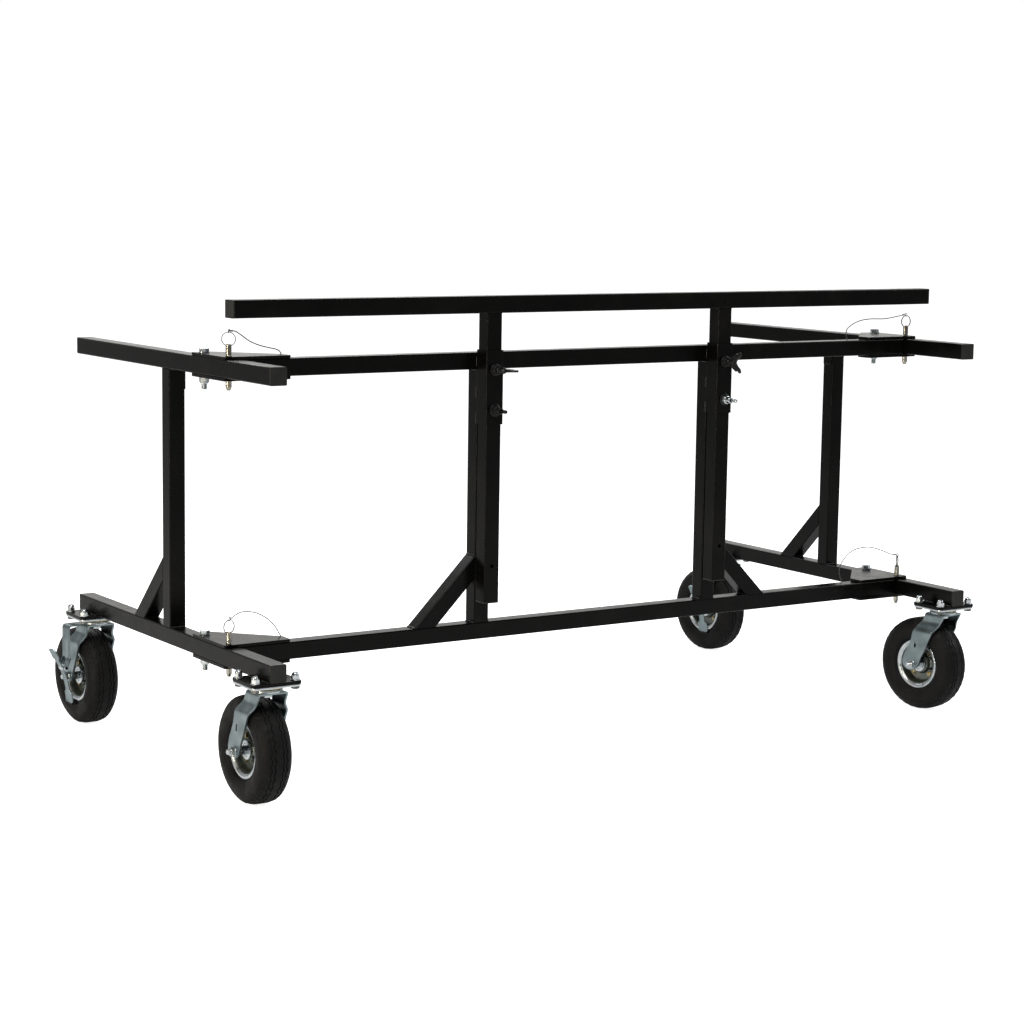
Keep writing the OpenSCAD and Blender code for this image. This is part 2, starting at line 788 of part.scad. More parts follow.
fork(false, false);  // fork_fl
fork(true, false);  // fork_fr
fork(false, true);  // fork_bl
fork(true, true);  // fork_br
axle(false, false);  // axle_fl
axle(true, false);  // axle_fr
axle(false, true);  // axle_bl
axle(true, true);  // axle_br
rim(false, false);  // rim_fl
rim(true, false);  // rim_fr
rim(false, true);  // rim_bl
rim(true, true);  // rim_br
tyre(false, false);  // tyre_fl
tyre(true, false);  // tyre_fr
tyre(false, true);  // tyre_bl
tyre(true, true);  // tyre_br
brake(false);  // brake_bl
brake(true);  // brake_br
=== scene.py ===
import math

import bmesh
import bpy
import numpy as np
from mathutils import Matrix, Vector


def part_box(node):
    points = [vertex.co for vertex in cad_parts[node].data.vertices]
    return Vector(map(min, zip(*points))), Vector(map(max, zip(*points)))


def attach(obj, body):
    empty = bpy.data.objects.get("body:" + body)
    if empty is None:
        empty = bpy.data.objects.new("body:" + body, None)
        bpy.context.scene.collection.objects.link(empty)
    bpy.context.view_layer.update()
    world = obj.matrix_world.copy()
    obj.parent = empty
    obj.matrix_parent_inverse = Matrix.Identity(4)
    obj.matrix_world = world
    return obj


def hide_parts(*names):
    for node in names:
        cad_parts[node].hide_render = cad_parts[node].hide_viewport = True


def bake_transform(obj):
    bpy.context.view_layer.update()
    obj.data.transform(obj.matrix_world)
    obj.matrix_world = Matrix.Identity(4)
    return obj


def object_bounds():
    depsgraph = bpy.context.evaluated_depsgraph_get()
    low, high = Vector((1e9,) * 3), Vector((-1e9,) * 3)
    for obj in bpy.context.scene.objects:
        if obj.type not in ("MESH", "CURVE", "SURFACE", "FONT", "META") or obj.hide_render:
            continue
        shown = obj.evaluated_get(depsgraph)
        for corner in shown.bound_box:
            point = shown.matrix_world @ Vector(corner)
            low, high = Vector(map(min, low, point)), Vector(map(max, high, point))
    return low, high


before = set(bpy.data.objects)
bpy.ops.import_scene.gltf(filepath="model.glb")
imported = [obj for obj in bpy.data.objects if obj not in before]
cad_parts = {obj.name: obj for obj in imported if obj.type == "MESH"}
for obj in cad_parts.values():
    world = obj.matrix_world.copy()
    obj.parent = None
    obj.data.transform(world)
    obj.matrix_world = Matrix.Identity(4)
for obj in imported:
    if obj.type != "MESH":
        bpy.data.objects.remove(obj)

cad_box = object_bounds()

# ---------- the frame's places ----------
# Lengths below are millimetres. Rail coordinates start at the rails' front left
# corner: x in from the left end frame's outer face, y back from the rails' front
# face, z up from the lower rail's underside.

MM = 0.001
TUBE = 38.1
HALF = TUBE / 2
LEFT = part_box("end_bottom_l")[0].x
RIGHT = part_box("end_bottom_r")[1].x
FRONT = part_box("lower_rail")[0].y
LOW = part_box("lower_rail")[0].z
MID_RISE = (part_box("mid_rail")[0].z - LOW) / MM
FRAME_LEN = (RIGHT - LEFT) / MM
REACH = (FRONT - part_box("end_bottom_l")[0].y) / MM + 3
REAR = (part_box("end_bottom_l")[1].y - FRONT) / MM + 3
DECK = (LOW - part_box("tyre_fl")[0].z) / MM
UPRIGHTS = [(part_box("uprights")[0].x - LEFT) / MM + HALF, (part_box("uprights")[1].x - LEFT) / MM - HALF]
CORNERS = [("fl", False, False), ("fr", True, False), ("bl", False, True), ("br", True, True)]
SWIVEL = {"fl": 0, "fr": 8, "bl": 2, "br": 5}


def at(x, y, z, right=False):
    """Point in metres from rail coordinates, mirrored to the right end if asked."""
    return Vector((RIGHT - x * MM if right else LEFT + x * MM, FRONT + y * MM, LOW + z * MM))


def frame_at(x, y, z, right=False, turn=0.0, axis="Z"):
    """Placing matrix at a point in rail coordinates, turned by degrees about an axis."""
    return Matrix.Translation(at(x, y, z, right)) @ Matrix.Rotation(math.radians(turn), 4, axis)


def linked(name, data):
    """New object in the scene."""
    obj = bpy.data.objects.new(name, data)
    bpy.context.scene.collection.objects.link(obj)
    return obj


def corner_of(key):
    """Whether a corner such as "rt" is at the right end, and its tube's height."""
    return key[0] == "r", (MID_RISE if key[1] == "t" else 0)


# ---------- camera ----------

cam = linked("camera", bpy.data.cameras.new("camera"))
bpy.context.scene.camera = cam
cam.data.sensor_width = 36
cam.data.lens = 84.556
cam.data.clip_end = 60
turned = (Matrix.Rotation(-0.5794, 3, "Z") @ Matrix.Rotation(-0.1370, 3, "X")
          @ Matrix.Rotation(-0.0146, 3, "Y"))
aim = Matrix((turned.col[0], turned.col[2], -turned.col[1])).transposed()
cam.matrix_world = Matrix.Translation(at(-2229.66, -4507.3, 1026.92)) @ aim.to_4x4()

# ---------- materials ----------


def node_material(name, metallic=0.0, level=0.5):
    """Empty material and its shader, with the uniform values on the shader's sockets."""
    mat = bpy.data.materials.new(name)
    mat.use_nodes = True
    shader = mat.node_tree.nodes["Principled BSDF"]
    shader.inputs["Metallic"].default_value = metallic
    shader.inputs["Specular IOR Level"].default_value = level
    return mat, shader


def noise_node(tree, scale, detail=4.0):
    """Noise in object coordinates."""
    coords = tree.nodes.new("ShaderNodeTexCoord")
    noise = tree.nodes.new("ShaderNodeTexNoise")
    noise.inputs["Scale"].default_value = scale
    noise.inputs["Detail"].default_value = detail
    tree.links.new(coords.outputs["Object"], noise.inputs["Vector"])
    return noise.outputs["Fac"]


def ramp_node(tree, fac, stops):
    """Colour ramp with (place, colour) stops."""
    ramp = tree.nodes.new("ShaderNodeValToRGB")
    while len(ramp.color_ramp.elements) < len(stops):
        ramp.color_ramp.elements.new(0.5)
    for element, (place, colour) in zip(ramp.color_ramp.elements, stops):
        element.position = place
        element.color = (*colour, 1)
    tree.links.new(fac, ramp.inputs["Fac"])
    return ramp.outputs["Color"]


def range_node(tree, fac, low, high, start=0.3, end=0.7):
    """A factor spread over a range of values."""
    node = tree.nodes.new("ShaderNodeMapRange")
    for socket, value in (("From Min", start), ("From Max", end), ("To Min", low), ("To Max", high)):
        node.inputs[socket].default_value = value
    tree.links.new(fac, node.inputs["Value"])
    return node.outputs["Result"]


def bump_node(tree, height, strength, distance, below=None):
    """Bump, over another bump if one is given."""
    node = tree.nodes.new("ShaderNodeBump")
    node.inputs["Strength"].default_value = strength
    node.inputs["Distance"].default_value = distance
    tree.links.new(height, node.inputs["Height"])
    if below is not None:
        tree.links.new(below, node.inputs["Normal"])
    return node.outputs["Normal"]


def surface(name, colours, rough, colour_scale, rough_scale, bumps, metallic=0.0, level=0.5):
    """Material with noisy colour, noisy roughness and one or more scales of bump."""
    mat, shader = node_material(name, metallic, level)
    tree = mat.node_tree
    blotch = noise_node(tree, colour_scale, 6)
    tree.links.new(ramp_node(tree, blotch, colours), shader.inputs["Base Color"])
    gloss = range_node(tree, noise_node(tree, rough_scale, 5), *rough)
    tree.links.new(gloss, shader.inputs["Roughness"])
    normal = None
    for scale, strength, distance in bumps:
        normal = bump_node(tree, noise_node(tree, scale, 3), strength, distance, normal)
    tree.links.new(normal, shader.inputs["Normal"])
    return mat


BLACK = surface("black_powder_coat",
                [(0.30, (0.0014, 0.0014, 0.0013)), (0.55, (0.0022, 0.0022, 0.0020)),
                 (0.78, (0.0048, 0.0045, 0.0038))],
                (0.17, 0.29), 9, 24, [(420, 0.05, 0.0004), (1500, 0.03, 0.0002)], level=0.09)
CAP = surface("black_plastic",
              [(0.35, (0.009, 0.009, 0.0075)), (0.65, (0.015, 0.015, 0.012))],
              (0.34, 0.46), 30, 60, [(2200, 0.25, 0.0002)], level=0.25)
CASTING = surface("black_casting",
                  [(0.35, (0.003, 0.003, 0.003)), (0.65, (0.007, 0.007, 0.007))],
                  (0.26, 0.42), 80, 120, [(900, 0.25, 0.0004)], level=0.22)
ZINC = surface("bright_zinc",
               [(0.30, (0.37, 0.41, 0.43)), (0.50, (0.50, 0.54, 0.555)), (0.72, (0.66, 0.69, 0.70))],
               (0.18, 0.36), 32, 55, [(260, 0.07, 0.0004), (1400, 0.08, 0.0002)], metallic=1.0)
FORK_ZINC = surface("blue_zinc",
                    [(0.28, (0.145, 0.185, 0.198)), (0.50, (0.205, 0.255, 0.268)), (0.74, (0.30, 0.355, 0.365))],
                    (0.28, 0.44), 22, 38, [(180, 0.08, 0.0005), (1100, 0.10, 0.0002)], metallic=1.0)
GOLD = surface("yellow_zinc",
               [(0.28, (0.25, 0.19, 0.085)), (0.50, (0.34, 0.28, 0.15)), (0.66, (0.36, 0.33, 0.22)),
                (0.80, (0.32, 0.32, 0.26))],
               (0.28, 0.44), 60, 90, [(900, 0.08, 0.0002)], metallic=1.0)
WIRE = surface("galvanised_wire",
               [(0.30, (0.085, 0.088, 0.084)), (0.70, (0.17, 0.172, 0.165))],
               (0.30, 0.46), 200, 300, [(2500, 0.10, 0.0001)], metallic=1.0)
RUBBER = surface("tyre_rubber",
                 [(0.28, (0.0026, 0.0026, 0.0028)), (0.55, (0.0042, 0.0042, 0.0042)),
                  (0.78, (0.0085, 0.0080, 0.0072))],
                 (0.48, 0.68), 20, 45, [(700, 0.16, 0.0004), (2600, 0.18, 0.0002)], level=0.14)
RIM_ZINC = surface("rim_zinc",
                   [(0.28, (0.115, 0.130, 0.118)), (0.52, (0.165, 0.182, 0.166)), (0.76, (0.24, 0.26, 0.24))],
                   (0.34, 0.50), 34, 60, [(240, 0.08, 0.0004), (1300, 0.10, 0.0002)], metallic=1.0)
PIN_ZINC = surface("pin_zinc",
                   [(0.28, (0.22, 0.205, 0.165)), (0.52, (0.34, 0.325, 0.275)), (0.76, (0.46, 0.45, 0.40))],
                   (0.16, 0.30), 40, 70, [(500, 0.06, 0.0002)], metallic=1.0)
WELD = surface("painted_weld",
               [(0.35, (0.003, 0.003, 0.003)), (0.65, (0.006, 0.006, 0.005))],
               (0.24, 0.40), 60, 120, [(500, 0.20, 0.0006)], level=0.3)

# ---------- mesh building ----------
# A shape is (points as an N x 3 array in millimetres, list of faces).


def grid(points, wrap_rows=False, wrap_cols=False):
    """Shape from rows and columns of points."""
    rows, cols = points.shape[:2]
    i, j = np.meshgrid(np.arange(rows if wrap_rows else rows - 1),
                       np.arange(cols if wrap_cols else cols - 1), indexing="ij")
    i, j = i.ravel(), j.ravel()
    near, far = (j + 1) % cols, (i + 1) % rows
    faces = np.stack([i * cols + j, i * cols + near, far * cols + near, far * cols + j], axis=1)
    return points.reshape(-1, 3), faces.tolist()


def join(*shapes):
    """Several shapes as one."""
    points, faces, count = [], [], 0
    for p, f in shapes:
        points.append(p)
        faces += [[v + count for v in face] for face in f]
        count += len(p)
    return np.concatenate(points), faces


def moved(shape, matrix):
    """A shape moved by a 4 x 4 matrix in millimetres."""
    m = np.array(matrix)
    return shape[0] @ m[:3, :3].T + m[:3, 3], shape[1]


def shift(x, y, z):
    return Matrix.Translation((x, y, z))


def spin(degrees, axis):
    return Matrix.Rotation(math.radians(degrees), 4, axis)


def fillet(points, radius, steps=4):
    """An open line with its inner corners rounded, radius being how far back each bend starts."""
    pts = [np.array(p, float) for p in points]
    out = [pts[0]]
    for a, b, c in zip(pts, pts[1:], pts[2:]):
        back, ahead = a - b, c - b
        r = min(radius, np.linalg.norm(back) * 0.48, np.linalg.norm(ahead) * 0.48)
        p = b + back / np.linalg.norm(back) * r
        q = b + ahead / np.linalg.norm(ahead) * r
        for t in np.linspace(0, 1, steps + 1):
            out.append(p * (1 - t) ** 2 + b * 2 * t * (1 - t) + q * t ** 2)
    out.append(pts[-1])
    return np.array(out)


def lathe(profile, sides=64, closed=False):
    """Profile of (radius, height) turned about Z; closed joins its last point to its first."""
    profile = np.array(profile, float)
    turn = np.linspace(0, 2 * math.pi, sides, endpoint=False)
    r, z = profile[:, :1], profile[:, 1:2]
    points = np.stack([r * np.cos(turn), r * np.sin(turn), z + 0 * turn], axis=2)
    return grid(points, closed, True)


def disc(radius, low, high, bevel=0.5, sides=48, hole=0.0):
    """Flat turned piece such as a washer, with bevelled edges."""
    b = bevel
    if hole:
        return lathe([(hole, low + b), (hole + b, low), (radius - b, low), (radius, low + b),
                      (radius, high - b), (radius - b, high), (hole + b, high), (hole, high - b)],
                     sides, True)
    return lathe([(0, low), (radius - b, low), (radius - b / 3, low + b / 3), (radius, low + b),
                  (radius, high - b), (radius - b / 3, high - b / 3), (radius - b, high), (0, high)], sides)


def hex_nut(flats, low, high, hole=0.0, chamfer_low=True):
    """Hexagon with its corners chamfered by a 30 degree cone."""
    sides = 72
    turn = np.linspace(0, 2 * math.pi, sides, endpoint=False)
    r = flats / 2 / np.cos((turn % (math.pi / 3)) - math.pi / 6)
    land = flats / 2 * 0.95
    drop = (r - land) * 0.55
    rings = []

    def ring(radius, z):
        rings.append(np.stack([radius * np.cos(turn), radius * np.sin(turn), z + 0 * turn], axis=1))

    ring(0 * turn + hole, low)
    ring(0 * turn + land, low)
    ring(r, low + (drop if chamfer_low else 0 * turn + 0.15))
    ring(r, high - drop)
    ring(0 * turn + land, high)
    ring(0 * turn + hole, high)
    return grid(np.array(rings), bool(hole), True)


def thread(radius, low, high, pitch=1.75, tip=1.2, sides=32):
    """Threaded stud with a chamfered tip at its low end."""
    rows = int((high - low) / pitch * 6)
    z = np.linspace(low, high, rows)[:, None]
    turn = np.linspace(0, 2 * math.pi, sides, endpoint=False)[None, :]
    wave = (z / pitch - turn / (2 * math.pi)) % 1
    depth = 0.55 * pitch * np.abs(wave * 2 - 1)
    r = np.minimum(radius - depth, radius - tip + (z - low) + 0 * turn)
    points = np.stack([r * np.cos(turn), r * np.sin(turn), z + 0 * turn], axis=2)
    shape = grid(points, False, True)
    ends = [np.array([[0, 0, low]]), np.array([[0, 0, high]])]
    count = rows * sides
    faces = shape[1] + [[count, (k + 1) % sides, k] for k in range(sides)]
    faces += [[count + 1, count - sides + k, count - sides + (k + 1) % sides] for k in range(sides)]
    return np.concatenate([shape[0], *ends]), faces


def outline_normals(outline):
    """Mitred outward normals of a closed outline that runs anticlockwise."""
    ahead = np.roll(outline, -1, axis=0) - outline
    ahead /= np.linalg.norm(ahead, axis=1)[:, None]
    out = np.stack([ahead[:, 1], -ahead[:, 0]], axis=1)
    before = np.roll(out, 1, axis=0)
    return (out + before) / (1 + np.sum(out * before, axis=1))[:, None]


def slab(outline, low, high, bevel=0.8):
    """Flat plate from an anticlockwise outline, with rounded-over edges."""
    outline = np.array(outline, float)
    normals = outline_normals(outline)
    rings = []
    for inset, z in ((bevel, low), (bevel * 0.3, low + bevel * 0.3), (0, low + bevel),
                     (0, high - bevel), (bevel * 0.3, high - bevel * 0.3), (bevel, high)):
        flat = outline - normals * inset
        rings.append(np.column_stack([flat, np.full(len(flat), z)]))
    points, faces = grid(np.array(rings), False, True)
    n = len(outline)
    faces.append(list(range(n))[::-1])
    faces.append(list(range(5 * n, 6 * n)))
    return points, faces


def round_rect(w, d, r, steps=7):
    """Anticlockwise rectangle with rounded corners, centred."""
    out = []
    for k, (sx, sy) in enumerate([(1, 1), (-1, 1), (-1, -1), (1, -1)]):
        for t in np.linspace(0, 90, steps):
            a = math.radians(90 * k + t)
            out.append((sx * (w / 2 - r) + r * math.cos(a), sy * (d / 2 - r) + r * math.sin(a)))
    return out


def sweep(path, section, twist=0.0):
    """Closed section of (u, v) points carried along a 3-D path; section may be a function of the row."""
    path = np.array(path, float)
    tangents = np.gradient(path, axis=0)
    tangents /= np.linalg.norm(tangents, axis=1)[:, None]
    side = np.cross(tangents[0], (0.13, 0.31, 0.94))
    side /= np.linalg.norm(side)
    rows = []
    for i, (p, t) in enumerate(zip(path, tangents)):
        side = side - t * np.dot(side, t)
        side /= np.linalg.norm(side)
        up = np.cross(t, side)
        s = section(i) if callable(section) else section
        a = twist * i
        u = s[:, 0] * math.cos(a) - s[:, 1] * math.sin(a)
        v = s[:, 0] * math.sin(a) + s[:, 1] * math.cos(a)
        rows.append(p + u[:, None] * side + v[:, None] * up)
    points, faces = grid(np.array(rows), False, True)
    n = rows[0].shape[0]
    last = (len(rows) - 1) * n
    return points, faces + [list(range(n))[::-1], list(range(last, last + n))]


def circle(radius, sides=12):
    a = np.linspace(0, 2 * math.pi, sides, endpoint=False)
    return np.column_stack([np.cos(a), np.sin(a)]) * radius


def hoop(x, y, radius, sides):
    """Closed profile: a circle of points about (x, y)."""
    turn = np.linspace(0, 2 * math.pi, sides, endpoint=False)
    return [(x + radius * math.cos(a), y + radius * math.sin(a)) for a in turn]


def mesh_of(name, shape, material, sharp=35):
    """Blender mesh in metres from a shape in millimetres."""
    mesh = bpy.data.meshes.new(name)
    mesh.from_pydata(shape[0] * MM, [], shape[1])
    bm = bmesh.new()
    bm.from_mesh(mesh)
    bmesh.ops.remove_doubles(bm, verts=bm.verts, dist=1e-6)
    bmesh.ops.dissolve_degenerate(bm, dist=1e-7, edges=bm.edges)
    bmesh.ops.recalc_face_normals(bm, faces=bm.faces)
    bm.to_mesh(mesh)
    bm.free()
    mesh.shade_smooth()
    mesh.set_sharp_from_angle(angle=math.radians(sharp))
    mesh.materials.append(material)
    return mesh


SLOTS = {WIRE: "wire_rope", RUBBER: "tyre_rubber",
         **dict.fromkeys((BLACK, CAP, WELD, CASTING), "black_paint"),
         **dict.fromkeys((ZINC, FORK_ZINC, RIM_ZINC, PIN_ZINC, GOLD), "zinc")}


def put(name, mesh, place, body, replaces=()):
    """Object for a mesh, in place, riding on a body and standing for CAD nodes."""
    obj = linked(name, mesh)
    obj.matrix_world = place
    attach(obj, body)
    if replaces:
        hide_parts(*replaces)
    return obj


def modified(name, shape, material, modifiers, sharp=35, cutters=()):
    """Mesh with modifiers and cuts applied."""
    obj = linked(name, mesh_of(name, shape, material, sharp))
    for kind, values in modifiers:
        modifier = obj.modifiers.new(kind, kind)
        for key, value in values.items():
            setattr(modifier, key, value)
    tools = []
    for shape_cut in cutters:
        tool = linked("cut", mesh_of("cut", shape_cut, material))
        modifier = obj.modifiers.new("cut", "BOOLEAN")
        modifier.object = tool
        modifier.operation = "DIFFERENCE"
        modifier.solver = "EXACT"
        tools.append(tool)
    bpy.context.view_layer.update()
    mesh = bpy.data.meshes.new_from_object(obj.evaluated_get(bpy.context.evaluated_depsgraph_get()))
    mesh.name = name
    bpy.data.objects.remove(obj)
    for tool in tools:
        bpy.data.objects.remove(tool)
    mesh.shade_smooth()
    mesh.set_sharp_from_angle(angle=math.radians(sharp))
    return mesh


def recolour(mesh, material, chosen):
    """Second material for the faces whose centres are chosen."""
    mesh.materials.append(material)
    for face in mesh.polygons:
        if chosen(face.center):
            face.material_index = 1


def curve_at(points, s):
    """Smooth curve through a list of points, at a place from 0 to 1."""
    n = len(points) - 1
    f = min(s * n, n - 1e-6)
    i = int(f)
    t = f - i
    a, b, c, d = (np.array(points[k], float) for k in (max(i - 1, 0), i, i + 1, min(i + 2, n)))
    return 0.5 * (2 * b + (c - a) * t + (2 * a - 5 * b + 4 * c - d) * t * t + (3 * b - a - 3 * c + d) * t ** 3)


# ---------- lanyards ----------
# The routes are the CAD routes: in from the end's outer face, back from the rails'
# front face, up from the tube's underside.

ROUTES = {
    "lb": [[24, 19, 98], [36, 20, 105], [50, 22, 109], [67, 25, 108], [88, 29, 103], [115, 34, 89],
           [138, 40, 69], [152, 45, 50], [160, 45, 38], [166, 41.6, 30.5], [169.5, 40.9, 26.3]],
    "lt": [[24, 19, 98], [36, 20, 96], [50, 22, 88], [71, 26, 75], [97, 32, 65], [122, 38, 59],
           [141, 43, 55], [152, 45, 50], [160, 45, 38], [166, 41.6, 30.5], [169.5, 40.9, 26.3]],
    "rb": [[24, 19, 98], [42, 21, 101], [70, 24, 112], [108, 28, 122], [146, 33, 119], [170, 37, 106],
           [185, 42, 85], [189, 45, 67], [185, 45, 48], [178.5, 41.5, 33], [174.5, 40.9, 26.3]],
    "rt": [[24, 19, 98], [50, 21, 93], [87, 25, 88], [125, 31, 88], [155, 36, 84], [178, 41, 74],
           [191, 45, 61], [191, 45, 45], [184, 43, 35], [178.5, 41.1, 30], [174.5, 40.9, 26.3]],
}
RING_TURN = {"lb": 15, "lt": -33, "rb": 39, "rt": 0}
CORD_D = 2.4
LAY_MM = 13.0


def stranded(i):
    """Section of a six-strand wire rope, turned by the row."""
    turn = np.linspace(0, 2 * math.pi, 36, endpoint=False)
    r = CORD_D / 2 * (0.86 + 0.14 * np.abs(np.cos(3 * turn)))
    return np.column_stack([np.cos(turn), np.sin(turn)]) * r[:, None]


for key, route in ROUTES.items():
    right, rise = corner_of(key)
    fine = np.array([curve_at(route, s) for s in np.linspace(0, 1, 221)])
    path = np.array([at(x, y, z + rise, right) for x, y, z in fine]) / MM
    length = float(np.linalg.norm(np.diff(path, axis=0), axis=1).sum())
    step = length / (len(path) - 1)
    rope = mesh_of("lanyard_" + key, sweep(path, stranded, 2 * math.pi * step / LAY_MM), WIRE, 60)
    obj = linked("wire_" + key, rope)
    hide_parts("lanyard_" + key)
    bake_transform(obj)
    for name, row, body, tag in (("pin", 4, "pin_" + key, 1), ("screw", -12, "centre_frame", -1)):
        spot, ahead = path[row], path[row + 3] - path[row - 3]
        tilt = Vector(ahead).to_track_quat("Z", "Y").to_matrix().to_4x4()
        sleeve = lathe(fillet([(1.2, -4.2), (2.0, -4.2), (2.35, -2.6), (2.15, -1.2), (2.4, 0), (2.15, 1.2),
                               (2.35, 2.6), (2.0, 4.2), (1.2, 4.2)], 0.5, 2), 20, True)
        mesh = mesh_of("ferrule", sleeve, ZINC)
        put(f"ferrule_{name}_{key}", mesh, Matrix.Translation(Vector(spot) * MM) @ tilt, body)

# ---------- CAD nodes that stay ----------

KEPT = {
    BLACK: ["lower_rail", "mid_rail", "uprights", "braces", "brackets_lower", "brackets_upper", "sleeves",
            "top_rail", "legs", "end_bottom_l", "end_bottom_r", "end_top_l", "end_top_r", "post_l", "post_r",
            "foot_brace_l", "foot_brace_r", "caster_pads_l", "caster_pads_r"],
    CAP: ["lift_caps", "end_caps_l", "end_caps_r"],
}
for material, names in KEPT.items():
    for name in names:
        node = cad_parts[name]
        for place in range(len(node.material_slots)):
            node.material_slots[place].link = "OBJECT"
            node.material_slots[place].material = material
for name in ("brackets_lower", "brackets_upper", "caster_pads_l", "caster_pads_r"):
    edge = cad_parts[name].modifiers.new("edge", "BEVEL")
    edge.width = 0.0007
    edge.segments = 2
    edge.limit_method = "ANGLE"
    edge.angle_limit = math.radians(60)

# ---------- weld beads ----------


def bead(start, end, radius, ripple=2.6):
    """Weld bead between two points in rail coordinates: a rippled half-sunk rope."""
    a, b = np.array(start, float), np.array(end, float)
    length = np.linalg.norm(b - a)
    rows = max(8, int(length / 0.8))
    path = a + (b - a) * np.linspace(0, 1, rows)[:, None]
    base = circle(1, 10)

    def section(i):
        s = length * i / (rows - 1)
        wave = abs(math.sin(math.pi * s / ripple)) ** 0.6
        wander = 0.10 * math.sin(s * 0.9 + a[0]) + 0.06 * math.sin(s * 2.3 + a[2])
        taper = min(1.0, 0.35 + min(s, length - s) / 3)
        return base * radius * taper * (0.84 + 0.16 * wave + wander)

    return sweep(path, section)


def weld_piece(name, body, lines, right=False, radius=2.3):
    """One piece of beads, its lines given in rail coordinates, mirrored to the right end if asked."""
    shapes = []
    for start, end in lines:
        pts = [[FRAME_LEN - p[0] if right else p[0], p[1], p[2]] for p in (start, end)]
        shapes.append(bead(*pts, radius))
    put(name, mesh_of(name, join(*shapes), WELD, 50), frame_at(0, 0, 0), body)


def foot_lines(x, y, z, x_sides=True, y_sides=(1,)):
    """Beads round a vertical tube's end at height z: its left and right sides, and chosen front or back."""
    h = HALF - 2
    lines = []
    if x_sides:
        lines += [((x + s * (HALF + 0.4), y - h, z), (x + s * (HALF + 0.4), y + h, z)) for s in (-1, 1)]
    lines += [((x - h, y + s * (HALF + 0.4), z), (x + h, y + s * (HALF + 0.4), z)) for s in y_sides]
    return lines


PROUD = 0.6              # how far a bead's middle stands off a joint
SLEEVE_SIDE = 20.4
SLEEVE_WELDS = (502, 560, 628)
BRACE = 154              # a brace's reach along each tube
CUT = TUBE * math.sqrt(2)  # a brace's cut face
LEG_Y, TOP_RAIL_Z = -22.225, 736.5
POST_Y = 270 + HALF
PLATE_Y = 50.8           # a caster's middle, in from the end tube's end

centre_lines = []
for x in UPRIGHTS:
    centre_lines += foot_lines(x, HALF, TUBE + PROUD, y_sides=())
    centre_lines += foot_lines(x, HALF, MID_RISE - PROUD, y_sides=())
    for s in (-1, 1):
        for z in SLEEVE_WELDS:
            side_x = x + s * SLEEVE_SIDE
            centre_lines.append(((side_x, 0.2, z - 12), (side_x, 0.2, z + 12)))
for x, s in ((UPRIGHTS[0] - HALF, -1), (UPRIGHTS[1] + HALF, 1)):
    for along in (BRACE, BRACE - CUT):
        centre_lines.append(((x + s * along, 2.5, TUBE + 0.5), (x + s * along, TUBE - 2.5, TUBE + 0.5)))
        centre_lines.append(((x + s * 0.5, 2.5, TUBE + along), (x + s * 0.5, TUBE - 2.5, TUBE + along)))
for x0, s in ((0, 1), (FRAME_LEN, -1)):
    for base in (0, MID_RISE):
        for z in (base - 0.5, base + TUBE + 0.5):
            centre_lines.append(((x0 + s * 60, TUBE + 0.5, z), (x0 + s * 145, TUBE + 0.5, z)))
weld_piece("welds_centre", "centre_frame", centre_lines)

lift_lines = []
for x in UPRIGHTS:
    lift_lines += foot_lines(x, LEG_Y, TOP_RAIL_Z, y_sides=(1,))
weld_piece("welds_lift", "lift_frame", lift_lines, radius=1.2)

for body, right in (("left_end", False), ("right_end", True)):
    lines = foot_lines(HALF, POST_Y, TUBE + PROUD, x_sides=False, y_sides=(-1, 1))
    lines += foot_lines(HALF, POST_Y, MID_RISE - PROUD, x_sides=False, y_sides=(-1, 1))
    for along in (BRACE, BRACE - CUT):
        y = POST_Y + HALF
        lines.append(((2.5, y + along, TUBE + 0.5), (TUBE - 2.5, y + along, TUBE + 0.5)))
        lines.append(((2.5, y + 0.5, TUBE + along), (TUBE - 2.5, y + 0.5, TUBE + along)))
    for back in (False, True):
        y = REAR - PLATE_Y if back else PLATE_Y - REACH
        for x in (0.0, TUBE):
            for a, b in ((-46, -14), (14, 46)):
                lines.append(((x, y + a, -0.2), (x, y + b, -0.2)))
    weld_piece("welds_" + body, body, lines, right)

# ---------- hinge bolts and lanyard screws ----------

HINGE_Y = 135
PLATE_T = 6.5


def hinge_fastener():
    """Hinge bolt about Z, from the tube's underside: head above, nut and bare thread below."""
    low, high = -PLATE_T, TUBE + PLATE_T
    return join(
        disc(12.0, high, high + 2, 0.4, hole=6.5), hex_nut(19, high + 2, high + 9.6, chamfer_low=False),
        disc(8.6, high + 9.4, high + 10, 0.3),
        disc(12.0, low - 2, low, 0.4, hole=6.5), hex_nut(19, low - 12.6, low - 2, hole=6.0),
        lathe(fillet([(6.3, low - 12.6), (8.8, low - 12.6), (8.5, low - 14.6), (6.3, low - 15)], 0.8, 3),
              48, True),
        thread(6.3, low - 27, high - 1))


bolt_mesh = mesh_of("hinge_bolt", hinge_fastener(), ZINC)
for right in (False, True):
    for rise, tag in ((0, "b"), (MID_RISE, "t")):
        name = "hinge_bolt_" + ("r" if right else "l") + tag
        put(name, bolt_mesh, frame_at(HALF, HINGE_Y, rise, right, 11 if right else 19), "centre_frame",
            ["hinge_bolts"])

SCREW_IN, SCREW_UP = 172, 24


def pan_screw():
    """Pan-head screw about Z with a socket, and the lanyard's terminal under it."""
    dome = fillet([(2.6, 4.4), (2.6, 6.6), (3.0, 6.6), (4.2, 6.3), (4.8, 5.2), (4.8, 3.9), (0, 3.9)], 0.4, 3)
    return join(disc(5.5, 0, 1.2, 0.3, hole=2.2), lathe(np.concatenate([[(0, 4.4)], dome]), 32),
                disc(2.0, 0.1, 4.2, 0.1, 20),
                lathe(hoop(4.1, 2.5, 0.9, 10), 32, True))


